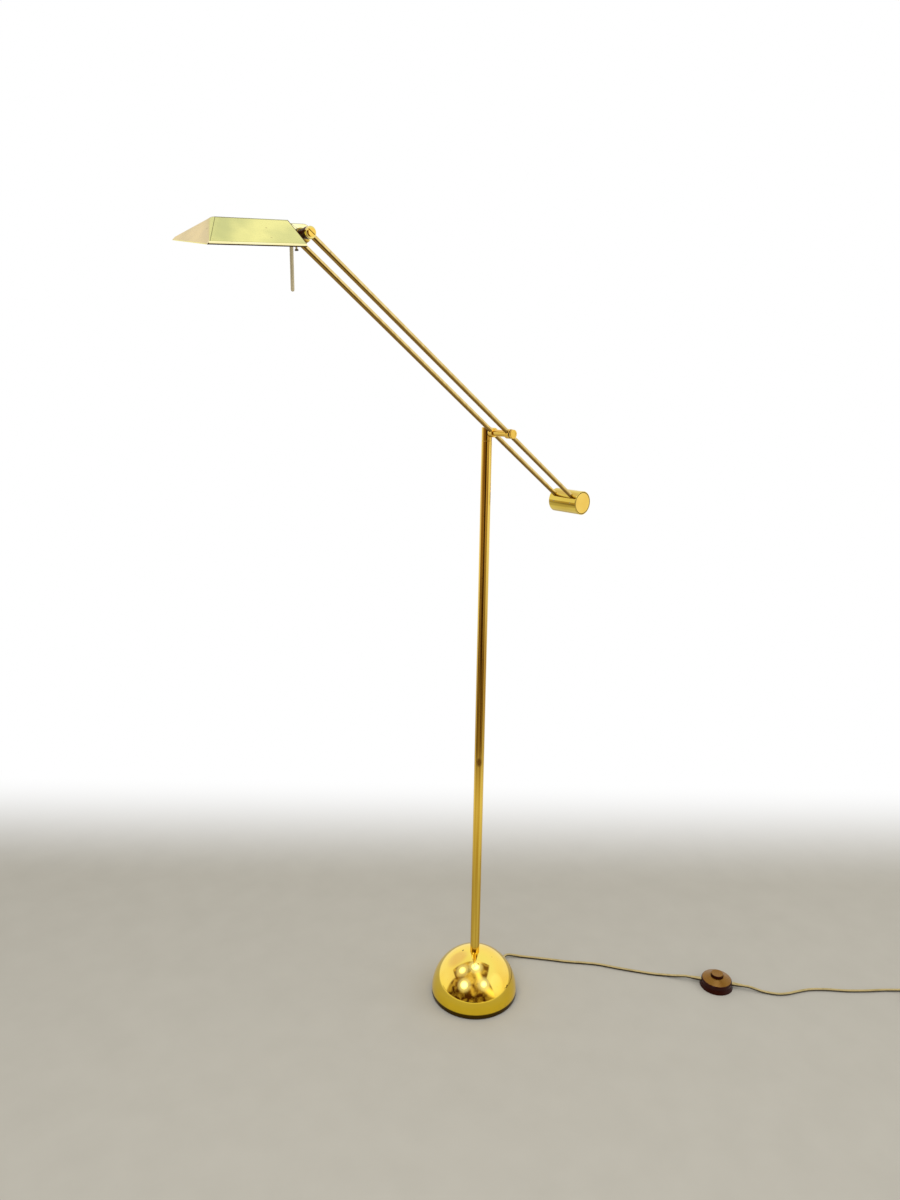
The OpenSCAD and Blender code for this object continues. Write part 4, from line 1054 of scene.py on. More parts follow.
    def tie(self) -> Surface:
        """Band round the bundle: a flat strip carried along a rounded rectangle of radius and height.

        Returns:
            The closed band.
        """
        r, t, w = STANCE.cord / 2 + self.tie_slack, self.tie_thick, self.tie_width / 2
        inner, outer = self.coil_radii()
        near, far = inner - r, outer + r
        low, high = self.coil_low - r + 0.03, self.coil_low + self.coil_pitch + r
        inside, outside = (rounded([(near - s, low - s), (far + s, low - s), (far + s, high + s),
                                    (near - s, high + s)], radius, 8, True)
                           for s, radius in ((0.0, 2.2), (t, 2.8)))
        edge = np.stack([inside, outside, outside, inside, inside])
        level = np.array([-w, -w, w, w, -w])[:, None]
        grid = np.stack([edge[..., 0], level + 0 * edge[..., 0], edge[..., 1]], axis=-1)
        place = shift(*self.coil_centre().tolist(), 0) @ turn("Z", STANCE.plug_heading - 90)
        return weave(np.concatenate([grid, grid[:, :1]], axis=1)).outward().moved(place)

    def build(self) -> tuple[bpy.types.Object, np.ndarray, bpy.types.Object, np.ndarray, bpy.types.Object]:
        """Make both cords, the strain relief and the tie.

        Returns:
            The foot cord and its path, the plug cord and its path, and the tie.
        """
        r, foot, plug = STANCE.cord / 2, self.foot_path(), self.plug_path()
        first = piece("lead_to_switch", Body.STAND, JACKET, swept(foot, r, 18), "cord_base_run")
        second = piece("lead_to_plug", Body.STAND, JACKET, swept(plug, r, 18), "cord_plug_run", "cord_coil",
                       "cord_tail")
        piece("cord_relief", Body.STAND, JACKET, self.gland(), "cord_gland")
        tie = piece("coil_tie", Body.STAND, BLACK, self.tie(), "cord_tie")
        return first, foot, second, plug, tie


@dataclass
class Plug:
    """Flat two-pin plug with a ribbed strain relief and finger grips."""

    relief: float = 22.0
    relief_thick: float = 6.0
    rings: int = 6
    ring_depth: float = 0.4
    body: float = 34.0
    swell: float = 9.0
    half_width: float = 13.0
    half_thick: float = 7.0
    nose: float = 3.0
    nose_crop: float = 1.2
    grips: Pair = (12.0, 24.0)
    grip_pitch: float = 3.0
    grip_depth: float = 0.35
    pin_radius: float = 2.0
    pin_length: float = 19.0
    pin_pitch: float = 18.6

    def shell(self) -> Surface:
        """Sections along X: a round taper with rings that swells to a flat superellipse with shallow grips.

        A section is half width times |cos|^(2/n), half thickness times |sin|^(2/n), with n from 2 to 5.

        Returns:
            The closed body.
        """
        start, nose = self.relief, self.relief + self.body - self.nose
        x = np.r_[np.linspace(0, start, 60), np.linspace(start, nose, 70)[1:],
                  nose + self.nose * np.sin(np.linspace(0, QUARTER, 9))[1:]]
        t, on = np.clip(x / start, 0, 1), x - start
        rings = self.ring_depth * (0.5 - 0.5 * np.cos(TURN * self.rings * t)) * (t < 1)
        neck = STANCE.relief_thin + (self.relief_thick - STANCE.relief_thin) * t - rings
        s = ease(on / self.swell)
        low, high = self.grips
        grip = self.grip_depth * (0.5 - 0.5 * np.cos(TURN * (on - low) / self.grip_pitch))
        crop = self.nose_crop * (1 - np.sqrt(1 - np.clip((x - nose) / self.nose, 0, 1) ** 2))
        wide = neck + (self.half_width - neck) * s - grip * ((on > low) & (on < high)) - crop
        thick = neck + (self.half_thick - neck) * s - crop
        power = (2 / (2 + 3 * s))[:, None]
        angle = np.linspace(0, TURN, 73)[None, :]
        y, z = (size[:, None] * np.sign(wave) * np.abs(wave) ** power
                for size, wave in ((wide, np.cos(angle)), (thick, np.sin(angle))))
        ends = np.zeros((2, angle.size, 3))
        ends[1, :, 0] = start + self.body
        wall = np.stack([x[:, None] + 0 * angle, y, z], axis=-1)
        return weave(np.concatenate([ends[:1], wall, ends[1:]])).outward().moved(STANCE.plug())

    def pins(self) -> Surface:
        """Two round pins with ball ends.

        Returns:
            Both pins.
        """
        r, start = self.pin_radius, self.relief + self.body - 5
        end = self.relief + self.body + self.pin_length
        q = np.linspace(0, QUARTER, 9)
        tip = np.c_[r * np.cos(q), end - r + r * np.sin(q)]
        one = lathe(np.concatenate([[[0, start], [r, start], [r, end - r - 0.4]], tip]), 28, turn("Y", 90))
        return join([one.moved(STANCE.plug() @ shift(0, s * self.pin_pitch / 2, 0)) for s in (-1, 1)])

    def build(self) -> list[bpy.types.Object]:
        """Make the plug's body and pins and return them."""
        return [piece("plug_shell", Body.STAND, BLACK, self.shell(), "plug_body"),
                piece("plug_contacts", Body.STAND, TURNED_BRASS, self.pins(), "plug_pins")]


@dataclass
class FootSwitch:
    """Round foot switch in two halves with a push button, a strain relief on each side and a parting line."""

    radius: float = 30.0
    flare: float = 3.0
    slope: float = 22.0
    height: float = 22.0
    wall: float = 2.5
    edge: float = 3.0
    seam: float = 0.15
    play: float = 0.3
    button: float = 12.0
    button_top: float = 28.0
    button_rim: float = 1.6
    dish: float = 0.35
    flange: float = 2.5
    stem: float = 6.0
    stem_low: float = 14.7
    relief_from: float = 30.1
    relief_radii: Triple = (3.7, 4.2, 3.1)
    rings: int = 5
    ring_depth: float = 0.3
    # Upward share of a face's normal past which the face is painted in the lit top's tone.
    level: float = 0.75

    def lower(self) -> Surface:
        """Lower half: a shallow cup that flares to the floor, with rounded foot and rim.

        Returns:
            The closed cup.
        """
        r, h, w = self.radius, STANCE.switch_parting - self.seam, self.wall
        profile = rounded([(0, 0), (r + self.flare, 0), (r, h), (r - w, h), (r - w, w), (0, w)],
                          [0, 0.8, 0.5, 0.3, 0.3, 0])
        return lathe(profile, 96, STANCE.switch())

    def upper(self) -> Surface:
        """Upper half: a cap that rises from a rounded shoulder to a flat ring round the button's hole.

        Returns:
            The closed cap.
        """
        r, h, w, hole = self.radius, self.height, self.wall, self.button + self.play
        low, flat = STANCE.switch_parting + self.seam, self.button + self.flange
        fall = np.tan(np.radians(self.slope))
        shoulder, inner = h - (r - flat) * fall, h - w - (r - w - flat) * fall
        profile = rounded([(hole, h - w), (hole, h), (flat, h), (r, shoulder), (r, low), (r - w, low),
                           (r - w, inner), (flat, h - w)],
                          [0.2, 0.5, 3.0, self.edge, 0.5, 0.3, 0.3, 1.0], 9, True)
        return lathe(profile, 96, STANCE.switch(), True)

    def push(self) -> Surface:
        """Button: a flange under the cap, a straight rim and a slightly dished top.

        Returns:
            The closed button.
        """
        r, top, stem, wide = self.button, self.button_top, self.stem, self.button + self.flange
        high, brim = self.height - self.wall - self.play, self.button - self.button_rim
        low = high - 2
        q = np.linspace(0, 1, 9)[::-1]
        dish = np.c_[brim * q, top - self.dish * (1 - q ** 2)]
        rim = rounded([(0, self.stem_low), (stem, self.stem_low), (stem, low), (wide, low), (wide, high),
                       (r, high), (r, top), (brim, top)], [0, 0.4, 0.4, 0.4, 0.4, 0.2, 1.2, 0], 8)
        return lathe(np.concatenate([rim, dish[1:]]), 72, STANCE.switch())

    def reliefs(self) -> Surface:
        """Two short tapers with rings, where the cord enters and leaves.

        Returns:
            Both reliefs.
        """
        neck, thick, thin = self.relief_radii
        start, end, inside = self.relief_from, STANCE.switch_relief, self.radius - self.wall
        t = np.linspace(0, 1, 61)
        ring = self.ring_depth * (1 - t) * (0.5 - 0.5 * np.cos(TURN * self.rings * t))
        taper = np.c_[thick + (thin - thick) * t - ring, start + (end - start) * t]
        profile = np.concatenate([[[0, inside], [neck, inside], [neck, start]], taper, [[0, end]]])
        one = lathe(profile, 36, shift(0, 0, STANCE.switch_parting) @ turn("Y", 90))
        return join([one.moved(STANCE.switch() @ turn("Z", a)) for a in (0, 180)])

    def build(self) -> list[bpy.types.Object]:
        """Make the halves, the button and the reliefs, with their upward faces painted paler as the lit top.

        Returns:
            The switch's pieces.
        """
        made = [piece("switch_lower_half", Body.STAND, BROWN, self.lower(), "switch_base"),
                piece("switch_upper_half", Body.STAND, BROWN, self.upper(), "switch_cover"),
                piece("switch_push", Body.BUTTON, BROWN, self.push(), "switch_button"),
                piece("switch_cord_reliefs", Body.STAND, JACKET, self.reliefs(), "switch_reliefs")]
        # Painted highlight: faces that look up take the lit tone, the sides keep the plain dark brown.
        for one in made[1:3]:
            paint(one, LIT_TOP_BROWN, faces(one, STANCE.switch())[1][:, 2] > self.level)
        dress(PALE, "switch_mechanism")
        dress(STEEL, "switch_screws")
        return made


@dataclass
class Foot:
    """Dome foot of spun sheet with its felt ring and the weight, transformer and fastenings inside."""

    radius: float = 84.0
    middle: float = 9.0
    rim: float = 2.5
    wall: float = 1.5
    seat: float = 10.0
    hole: float = 5.03

    def dome(self) -> Surface:
        """Sphere's arc above a short skirt, a flat seat on top, and the same inside by the wall's thickness.

        Returns:
            The closed dome.
        """
        top, inside = self.middle + np.sqrt(self.radius ** 2 - self.seat ** 2), self.radius - self.wall
        outer = np.linspace(0, np.arccos(self.seat / self.radius), 121)
        inner = np.linspace(np.arcsin((top - self.wall - self.middle) / inside), 0, 49)
        arc_out, arc_in = (np.c_[r * np.cos(a), self.middle + r * np.sin(a)]
                           for r, a in ((self.radius, outer), (inside, inner)))
        skirt = rounded([(self.radius, self.middle), (self.radius, self.rim), (inside, self.rim),
                         (inside, self.middle)], 0.5)
        seat = [[self.seat - 0.2, top], [self.hole, top], [self.hole, top - self.wall]]
        return lathe(np.concatenate([arc_out, seat, arc_in, skirt[::-1]]), 160, ring=True)

    def build(self) -> None:
        """Make the dome and dress what lies under and inside it."""
        piece("dome_foot", Body.STAND, DOME_BRASS, self.dome(), "base_shell")
        dress(FELT, "base_felt")
        dress(STEEL, "base_plate", "base_screws", "clamp_dish", "spacer_tube", "tie_rod", "tie_nut")
        dress(IRON, "ballast")
        dress(WINDING, "transformer")


@dataclass
class Pole:
    """Pole tube, swivel washer and the collar that turns on it."""

    radius: float = 9.0
    bore: float = 7.5
    low: float = 92.403
    high: float = 1089.0
    collar_low: float = 1090.0
    collar_high: float = 1112.0
    flat: float = 8.4
    flat_low: float = 1096.2
    grub: float = 2.03
    grub_sink: float = 0.8

    def tube(self) -> Surface:
        """Straight tube with lightly broken edges.

        Returns:
            The closed tube.
        """
        profile = rounded([(self.bore, self.low), (self.radius, self.low), (self.radius, self.high),
                           (self.bore, self.high)], [0.1, 0.1, 0.4, 0.2], 5, True)
        return lathe(profile, 72, ring=True)

    def collar(self) -> Surface:
        """Round collar with a rounded top, a screw hole, and a flat where points past it are drawn back.

        Returns:
            The closed collar.
        """
        r, g, top, step = self.radius, self.grub, self.collar_high, self.flat_low
        sink = top - self.grub_sink
        profile = rounded([(0, self.collar_low), (r, self.collar_low), (r, step - 0.05), (r, step), (r, top),
                           (g, top), (g, sink), (0, sink)], [0, 0.4, 0, 0, 0.8, 0.2, 0.1, 0], 7)
        grid = turned(profile, 96)
        grid[..., 1] = np.where(grid[..., 2] >= step, np.maximum(grid[..., 1], -self.flat), grid[..., 1])
        return weave(grid).outward()

    def build(self) -> None:
        """Make the tube and the collar and dress the pieces inside them."""
        piece("pole", Body.STAND, POLE_BRASS, self.tube(), "pole_tube")
        piece("collar", Body.SWIVEL, POLE_BRASS, self.collar(), "swivel_collar")
        dress(TURNED_BRASS, "swivel_washer", "pole_foot_plug", "pole_top_bush")
        dress(STEEL, "swivel_stud", "swivel_clip", "axle_grub")
        dress(SLEEVE, "pole_lead")


@dataclass
class Arm:
    """Axle, hubs, rods and clamp knob of the swinging arm."""

    hub_radius: float = 8.0
    axle_radius: float = 4.05
    head_bore: float = 3.03
    spacer_radius: float = 5.5
    rod_radius: float = 4.0
    rod_start: float = 5.53
    weight_end: float = 211.72
    knob_radius: float = 7.5
    knob_in: float = 59.4
    knob_out: float = 63.9
    grooves: int = 24
    groove_depth: float = 0.45
    groove_rim: float = 0.8

    def barrel(self, low: float, high: float, outer: float, bore: float, edge: float = 0.8) -> Surface:
        """Ring turned about the axle, between two distances out from the pole, with rounded edges.

        Args:
            low: nearer end.
            high: farther end.
            outer: outer radius.
            bore: radius of the hole.
            edge: size of the rounding.

        Returns:
            The ring, along -Y.
        """
        third = (high - low) / 3
        profile = rounded([(bore, low), (outer, low), (outer, low + third), (outer, high - third),
                           (outer, high), (bore, high)], [0.1, edge, 0, 0, edge, 0.1], 7, True)
        return lathe(profile, 64, turn("X", 90), True)

    def rod(self, start: float, end: float, out: float) -> Surface:
        """Round rod along the arm, closed at both ends.

        Args:
            start: place along the arm where it starts.
            end: place where it ends.
            out: distance out from the pole.

        Returns:
            The rod in the part's frame.
        """
        r = self.rod_radius
        profile = rounded([(0, start), (r, start), (r, end), (0, end)], [0, 0.3, 0.3, 0], 5)
        return lathe(profile, 48, STANCE.arm() @ shift(0, -out, 0) @ turn("Y", 90))

    def knob(self) -> Surface:
        """Knurled ring: the rim's radius dips at each groove as the sixth power of a cosine.

        Returns:
            The closed ring.
        """
        bore, r = self.axle_radius, self.knob_radius
        profile = rounded([(bore, self.knob_in), (r, self.knob_in), (r, self.knob_out),
                           (bore, self.knob_out)], [0.1, 0.7, 0.7, 0.3], 7, True)
        grid = turned(profile, 12 * self.grooves, True)
        angle, size = np.arctan2(grid[..., 1], grid[..., 0]), np.hypot(grid[..., 0], grid[..., 1])
        rim = np.clip((size - r) / self.groove_rim + 1, 0, 1)
        dip = self.groove_depth * rim * np.abs(np.cos(angle * self.grooves / 2)) ** 6
        grid[..., :2] *= ((size - dip) / size)[..., None]
        return weave(grid).outward().moved(STANCE.arm() @ turn("X", 90))

    def build(self) -> None:
        """Make hubs, rods, spacer and knob, shade painted inside the head hubs, and dress the axles and
        washers.
        """
        arm, half, start = STANCE.arm(), STANCE.hub_length / 2, self.rod_start
        head = STANCE.head() @ turn("Y", STANCE.arm_rise)
        for side, out in (("far", STANCE.rod_far), ("near", STANCE.rod_near)):
            hub, tip = (self.barrel(out - half, out + half, self.hub_radius, bore)
                        for bore in (self.axle_radius, self.head_bore))
            piece(f"hub_{side}_barrel", Body.ARM, TURNED_BRASS, hub.moved(arm), f"hub_{side}")
            made = piece(f"head_hub_{side}_barrel", Body.ARM, HEAD_BRASS, tip.moved(head), f"head_hub_{side}")
            middle, normal = faces(made, STANCE.neck())
            # Painted shade: the head hubs' walls beside the tongue, where the parts meet, are painted brown.
            shaded_band = np.abs(middle[:, 1]) < STANCE.rod_near - STANCE.middle + half / 3
            away = np.hypot(middle[:, 0], middle[:, 2])
            wall = (np.abs(normal[:, 1]) < 0.9) & (away > self.axle_radius + 1)
            paint(made, BROWN, shaded_band & wall)
            rods = {"upper": (start - STANCE.head_reach, -start), "lower": (start, self.weight_end)}
            for end, span in rods.items():
                piece(f"{end}_rod_{side}_bar", Body.ARM, ROD_BRASS, self.rod(*span, out), f"{end}_rod_{side}")
        spacer = self.barrel(STANCE.rod_far + half, STANCE.rod_near - half, self.spacer_radius,
                             self.axle_radius, 0.3)
        piece("spacer_barrel", Body.ARM, TURNED_BRASS, spacer.moved(arm), "hub_spacer")
        piece("knurled_clamp", Body.CLAMP, TURNED_BRASS, self.knob(), "clamp_knob")
        dress(TURNED_BRASS, "axle", "head_axle")
        dress(BLACK, "friction_washers")


@dataclass
class Counterweight:
    """Solid cylinder across the rods' lower ends, with a flush cap in each end."""

    reach: float = 223.0
    radius: float = 21.25
    half: float = 31.5
    cap_radius: float = 19.25
    cap_thick: float = 1.5
    fit: float = 0.03
    groove: float = 0.62

    def place(self) -> np.ndarray:
        """Frame at its middle with the cylinder's axis along Z."""
        return STANCE.arm() @ shift(self.reach, -STANCE.middle, 0) @ turn("X", 90)

    def barrel(self) -> Surface:
        """Cylinder with rounded rims and a shallow seat in each end.

        Returns:
            The closed cylinder.
        """
        h, r, c = self.half, self.radius, self.cap_radius + self.fit
        seat = h - self.cap_thick
        profile = rounded([(0, -seat), (c, -seat), (c, -h), (r, -h), (r, h), (c, h), (c, seat), (0, seat)],
                          [0, 0.1, 0.6, 0.6, 0.6, 0.6, 0.1, 0])
        return lathe(profile, 96, self.place())

    def caps(self) -> Surface:
        """Two discs with lightly rounded edges, flush with the ends.

        Returns:
            Both discs.
        """
        h, c = self.half, self.cap_radius
        low = h - self.cap_thick + self.fit
        one = lathe(rounded([(0, low), (c, low), (c, h), (0, h)], [0, 0.1, 0.7, 0]), 96)
        return join([one.moved(self.place()), one.moved(self.place() @ turn("X", 180))])

    def build(self) -> None:
        """Make the cylinder and its caps, dull in the groove between them, and dress the grub screws."""
        for one in (piece("weight_cylinder", Body.ARM, WEIGHT_BRASS, self.barrel(), "counterweight"),
                    piece("weight_caps", Body.ARM, TURNED_BRASS, self.caps(), "counterweight_caps")):
            middle = faces(one, self.place())[0]
            paint(one, GROOVE, np.abs(np.hypot(middle[:, 0], middle[:, 1]) - self.cap_radius) < self.groove)
        dress(STEEL, "counterweight_grubs")


@dataclass
class Neck:
    """Tongue between the head hubs, with its bushes, lock screw, grab handle, bulb and holder."""

    radius: float = 12.0
    half_width: float = 8.0
    face: float = 19.7
    edge: float = 0.9
    bush_radius: float = 7.0
    bush_bore: float = 3.05
    bush_out: float = 14.4
    screw_forward: float = 8.85
    screw_head: float = -6.8
    ridges: int = 16
    ridge_depth: float = 0.12
    handle_forward: float = 16.2
    handle_radius: float = 2.5
    handle_top: float = 4.9
    handle_tip: float = 57.5
    handle_lean: float = 4.0
    holder_in: float = 26.9
    holder_out: float = 43.9
    holder_radius: float = 8.0
    holder_groove: float = 0.8
    stem_seat: Pair = (5.03, 5.0)
    bulb_in: float = 44.9
    bulb_length: float = 38.0
    bulb_radius: float = 6.0
    bulb_wall: float = 0.7
    pinch: float = 7.0
    pinch_halves: Pair = (5.0, 2.0)
    coils: int = 12
    coil_radius: float = 0.9
    coil_half: float = 2.6
    wire_radius: float = 0.14
    post_radius: float = 0.25

    def tongue(self) -> Surface:
        """Outline with a half circle behind the axle and square front corners, given its width.

        Returns:
            The closed tongue.
        """
        r, q = self.radius, np.linspace(-QUARTER, QUARTER, 41)
        front = rounded([(0, r), (-self.face, r), (-self.face, -r), (0, -r)], 0.8, 5)[7:-7]
        loop = np.concatenate([np.c_[r * np.cos(q), r * np.sin(q)], front])
        return slab(loop, self.half_width, self.edge).moved(STANCE.neck())

    def bushes(self) -> Surface:
        """Two plain rings beside the tongue.

        Returns:
            Both rings.
        """
        bore, r, low, high = self.bush_bore, self.bush_radius, self.half_width + 0.03, self.bush_out
        ring = rounded([(bore, low), (r, low), (r, high), (bore, high)], [0.1, 0.4, 0.4, 0.1], 5, True)
        return join([lathe(ring, 48, STANCE.neck() @ turn("X", a), True) for a in (90, -90)])

    def screw(self) -> Surface:
        """Lock screw: a thread, a thinner neck and a head whose rim has fine ridges.

        Returns:
            The closed screw.
        """
        head = self.screw_head
        profile = rounded([(0, -9), (2.5, -9), (2.5, head), (1.4, head), (1.4, 0.03), (2, 0.03), (2, 4.97),
                           (0, 4.97)], [0, 0.4, 0.4, 0.1, 0.1, 0.1, 0.2, 0])
        grid = turned(profile, 96)
        angle, size = np.arctan2(grid[..., 1], grid[..., 0]), np.hypot(grid[..., 0], grid[..., 1])
        dip = self.ridge_depth * (size > 2.1) * (0.5 - 0.5 * np.cos(self.ridges * angle))
        grid[..., :2] *= (1 - dip / np.maximum(size, 0.1))[..., None]
        return weave(grid).outward().moved(STANCE.neck() @ shift(-self.screw_forward, 0, -self.radius))

    def handle(self) -> Surface:
        """Straight rod with a half ball at its lower end.

        Returns:
            The closed rod.
        """
        r, tip, top, q = self.handle_radius, self.handle_tip, self.handle_top, np.linspace(-QUARTER, 0, 13)
        ball = np.c_[r * np.cos(q), r * np.sin(q) - tip]
        profile = np.concatenate([ball, [[r, 0.3 - tip], [r, top], [0, top]]])
        place = STANCE.neck() @ shift(-self.handle_forward, 0, -self.radius) @ turn("Y", self.handle_lean)
        return lathe(profile, 40, place)

    def holder(self) -> Surface:
        """Ceramic barrel with a groove round it and a seat for the stem.

        Returns:
            The closed barrel.
        """
        r, a, b = self.holder_radius, self.holder_in, self.holder_out
        g, (seat, deep) = r - self.holder_groove, self.stem_seat
        profile = rounded([(0, a + deep), (seat, a + deep), (seat, a), (r, a), (r, a + 6), (g, a + 6.6),
                           (g, a + 8), (r, a + 8.6), (r, b), (0, b)],
                          [0, 0.1, 0.2, 0.8, 0.2, 0.2, 0.2, 0.2, 1.0, 0])
        return lathe(profile, 56, STANCE.neck() @ turn("Y", -90))

    def glass(self, inset: float) -> Surface:
        """Capsule along X: a flat pinch that swells to a round tube with a ball end, drawn in by an inset.

        Args:
            inset: distance inside the outer skin.

        Returns:
            The closed skin.
        """
        start, r = self.bulb_in + 2.2 * inset, self.bulb_radius - inset
        end = self.bulb_in + self.bulb_length - inset
        q = np.linspace(0, QUARTER, 17)[1:]
        x = np.r_[np.linspace(start, end - r, 60), end - r + r * np.sin(q)]
        ball = np.r_[np.ones(60), np.cos(q)]
        s = ease((x - self.bulb_in - self.pinch + 1) / 5)
        wide, thick = ((size - inset + (r - size + inset) * s) * ball for size in self.pinch_halves)
        angle = np.linspace(0, TURN, 49)[None, :]
        wall = np.stack([-x[:, None] + 0 * angle, wide[:, None] * np.cos(angle),
                         thick[:, None] * np.sin(angle)], axis=-1)
        back = np.broadcast_to([-start, 0.0, 0.0], (1, 49, 3))
        return weave(np.concatenate([back, wall])).outward().moved(STANCE.neck())

    def wires(self) -> Surface:
        """Filament: a fine helix across the bulb between two straight supports from the pinch.

        Returns:
            The helix and its supports.
        """
        mid, r, half = self.bulb_in + 20.0, self.coil_radius, self.coil_half
        u = np.linspace(0, 1, 241)
        a = TURN * self.coils * u
        helix = np.c_[-mid + r * np.cos(a), -half + 2 * half * u, r * np.sin(a)]
        along = np.linspace(-self.bulb_in - 6.4, -mid + r, 12)
        posts = [swept(np.c_[along, np.full(12, y), np.zeros(12)], self.post_radius, 8)
                 for y in (-half - 0.1, half + 0.1)]
        coil = swept(helix, self.wire_radius, 8, (0.0, 1.0, 0.0))
        return join([coil, *posts]).moved(STANCE.neck())

    def build(self) -> None:
        """Make the tongue, bushes, screw, handle, holder and bulb and dress the stem and pins."""
        tongue = piece("neck_tongue", Body.NECK, HEAD_BRASS, self.tongue(), "neck_block")
        normal = faces(tongue, STANCE.neck())[1]
        side = np.abs(normal[:, 1])
        # Painted reflection: the tongue's flat sides are painted bright and its rounded top edges dark.
        paint(tongue, BRIGHT_REFLECTION_BRASS, side > 0.97)
        paint(tongue, DARK_FOLD_REFLECTION, (side > 0.2) & (side < 0.97) & (normal[:, 2] > 0.2))
        piece("neck_side_bushes", Body.NECK, BROWN, self.bushes(), "neck_bushes")
        screw = piece("neck_lock_screw", Body.NECK, DARK, self.screw(), "neck_screw")
        # Painted reflection: the shank is painted pale, as the white room round it.
        paint(screw, PALE_REFLECTION, faces(screw, STANCE.neck())[0][:, 2] > self.screw_head - self.radius - 0.05)
        # Painted reflection: the handle is painted pale, as the white room it mirrors.
        piece("grab_handle", Body.NECK, PALE_REFLECTION, self.handle(), "handle_rod")
        piece("bulb_holder", Body.NECK, CERAMIC, self.holder(), "lampholder")
        skins = join([self.glass(0.0), self.glass(self.bulb_wall).inward()])
        piece("bulb_capsule", Body.NECK, QUARTZ, skins, "bulb")
        piece("bulb_filament", Body.NECK, TUNGSTEN, self.wires())
        dress(STEEL, "shade_stem", "stem_nut", "bulb_pins")


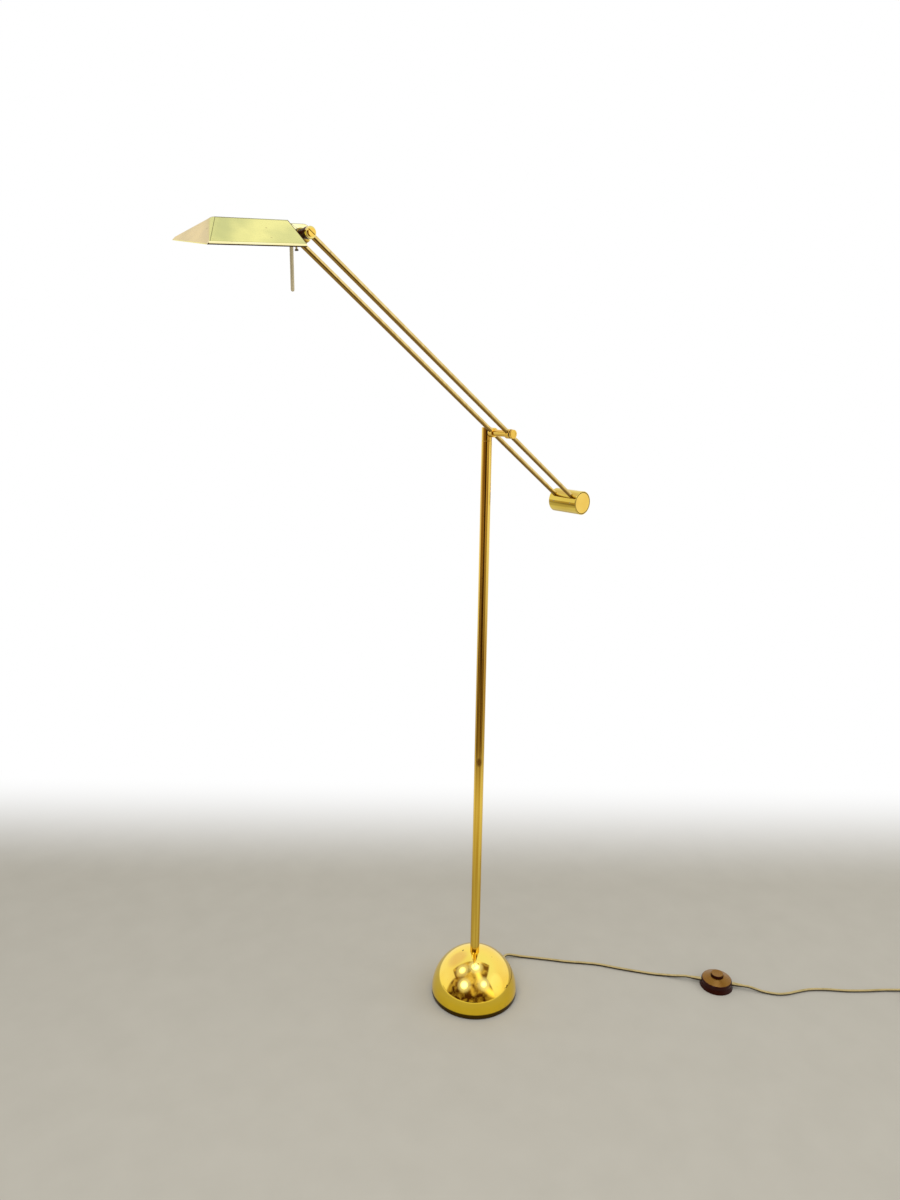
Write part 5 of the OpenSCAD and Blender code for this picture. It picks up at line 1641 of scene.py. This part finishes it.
@dataclass
class Shade:
    """Folded sheet shade: two long roof slopes, a sloping outer end and upright lips, bright inside."""

    rear: float = 20.0
    length: float = 140.0
    half_width: float = 45.0
    low: float = -14.0
    height: float = 30.5
    lip: float = 4.0
    end_lip: float = 1.0
    hip: float = 29.0
    wall: float = 1.0
    fold_top: float = 6.5
    fold_low: float = 0.6
    fold_half: float = 25.0
    lip_fold: float = 0.9
    lip_fold_inside: float = 0.5
    lip_half: float = 30.0
    hem: float = 0.48
    line: float = 1.0
    columns: int = 26
    end_columns: int = 11
    rows: tuple = (0.02, 0.06, 0.2, 0.4, 0.6, 0.8, 0.93, 0.965, 1.0)
    heart: Triple = (-90.0, 0.0, -6.0)

    def bend(self, steps: int, half: float) -> np.ndarray:
        """Weights of a conic fold: start, corner and end at each step.

        Args:
            steps: points on the fold.
            half: half of the angle that it turns through, in degrees.

        Returns:
            Steps by three, each row summing to one.
        """
        t = np.linspace(0, 1, steps)
        weight = np.c_[(1 - t) ** 2, 2 * np.cos(np.radians(half)) * t * (1 - t), t ** 2]
        return weight / weight.sum(axis=1)[:, None]

    def sheet(self, inset: float) -> list[np.ndarray]:
        """Lower edge, eave and ridge lines of the folded sheet, from the near rear corner round to the far.

        The eave runs along the near side, turns the corner through a fold whose width grows from the eave
        to the ridge, crosses the outer end, and comes back along the far side. Each eave point has its own
        ridge point, so the slopes are ruled between them.

        Args:
            inset: distance inside the outer face.

        Returns:
            Three lines of points in the shade's frame.
        """
        slope, base = (self.height - self.lip) / self.half_width, self.low + self.end_lip
        steep = np.arctan((self.height - self.end_lip) / self.hip)
        half = self.half_width - inset
        ridge = self.low + self.height - inset / np.cos(np.arctan(slope))
        eave = ridge - half * slope
        front = self.rear + self.length - inset
        foot = self.rear + self.length - inset / np.sin(steep)
        ridge_end, corner = (foot - (level - base) / np.tan(steep) for level in (ridge, eave))
        n, m = self.columns, self.end_columns
        lines = []
        for last, y, z, fold in ((corner, -half, eave, self.fold_low),
                                 (ridge_end, 0.0, ridge, self.fold_top)):
            stop = fold - last
            x = np.r_[-self.rear, np.linspace(-self.rear - self.line, stop + self.line, n - 2), stop]
            turn_x, turn_z = -last - fold * np.cos(steep), z - fold * np.sin(steep)
            hold = np.array([[stop, y, z], [-last, y, z], [turn_x, y, turn_z]])
            corner_fold = self.bend(9, self.fold_half) @ hold
            outer = np.broadcast_to(corner_fold[-1], (m, 3))
            if z == eave:
                level = base + (foot - front) * np.tan(steep)
                outer = np.c_[np.full(m, -front), np.linspace(y, 0, m), np.full(m, level)]
            lines.append(np.concatenate([np.c_[x, np.full(n, y), np.full(n, z)], corner_fold[1:], outer]))
        lower = lines[0] * [1.0, 1.0, 0.0] + [0.0, 0.0, self.low]
        return [np.concatenate([one, (one * [1.0, -1.0, 1.0])[::-1][1:]]) for one in (lower, *lines)]

    def slopes(self, inset: float, fold: float) -> np.ndarray:
        """Grid of one face of the sheet: lower edge, a conic fold at the eave, then straight up to the ridge.

        Args:
            inset: distance inside the outer face.
            fold: tangent length of the eave's fold.

        Returns:
            Grid of points, from lower edge to ridge by way round.
        """
        low, eave, ridge = self.sheet(inset)
        drop, rise = low - eave, ridge - eave
        drop_size, rise_size = (np.linalg.norm(v, axis=1)[:, None] for v in (drop, rise))
        reach = np.minimum(fold, 0.45 * drop_size)
        a, b = eave + reach * drop / drop_size, eave + reach * rise / rise_size
        curve = np.einsum("sk,kij->sij", self.bend(7, self.lip_half), np.stack([a, eave, b]))
        up = b + (ridge - b) * np.array(self.rows)[:, None, None]
        return np.concatenate([low[None], (low + self.hem * (a - low))[None], curve, up])

    def shell(self) -> Surface:
        """Outer and inner face of the sheet joined along the lower edge and the rear edge.

        Returns:
            The closed sheet.
        """
        outer, inner = self.slopes(0.0, self.lip_fold), self.slopes(self.wall, self.lip_fold_inside)
        ends = [np.stack([outer[:, i], inner[:, i]], axis=1) for i in (0, -1)]
        hem = np.stack([outer[0], inner[0]])
        return join([weave(g) for g in (outer, inner, hem, *ends)]).moved(STANCE.shade())

    def build(self) -> None:
        """Make the shell, enamelled inside, with painted dark reflections on the creases, a painted bright
        lip, and dark cut edges with painted shade along the lip's lower edge and the rear edge.
        """
        made = piece("shade_sheet", Body.SHADE, SHEET_BRASS, self.shell(), "shade_shell", recalculate=True,
                     sharp=70.0)
        middle, normal = faces(made, STANCE.shade())
        x, out, z = middle[:, 0], np.abs(middle[:, 1]), middle[:, 2]
        inside = np.einsum("ij,ij->i", normal, np.array(self.heart) - middle) > 4
        paint(made, ENAMEL, inside)
        eave, ridge = (line[self.columns - 1] for line in self.sheet(0.0)[1:])
        past = x - ridge[0] - out / self.half_width * (eave[0] - ridge[0])
        above = ~inside & (z > self.low + self.lip)
        # Painted reflection: dark lines along the ridge and the hip fold.
        paint(made, DARK_FOLD_REFLECTION, above & (past > 0) & ((past < self.line) | (out < self.line)))
        hem = self.low + self.hem * (self.lip - self.lip_fold)
        side = ~inside & (out > self.half_width - self.wall - 0.1) & (z < self.low + self.lip)
        # Painted reflection: the lip's band above the hem line is painted bright.
        paint(made, BRIGHT_REFLECTION_BRASS, side & (z > hem))
        # Painted shade: a dark line on the lip's lower edge and along the rear edge, cut edges included.
        paint(made, EDGE_SHADE_LINE, side & (z < hem) | above & (x > -self.rear - self.line))
        dress(SHEET_BRASS, "shade_rear_plate")


def main() -> None:
    """Build the studio, the cords and each sub-assembly in order."""
    logging.basicConfig(level=logging.INFO, format="%(message)s")
    Studio().build()
    first, foot_path, second, plug_path, tie = Lead().build()
    plug = Plug().build()
    switch = FootSwitch().build()
    for part in (Foot(), Pole(), Arm(), Counterweight(), Neck(), Shade()):
        part.build()


if __name__ == "__main__":
    main()
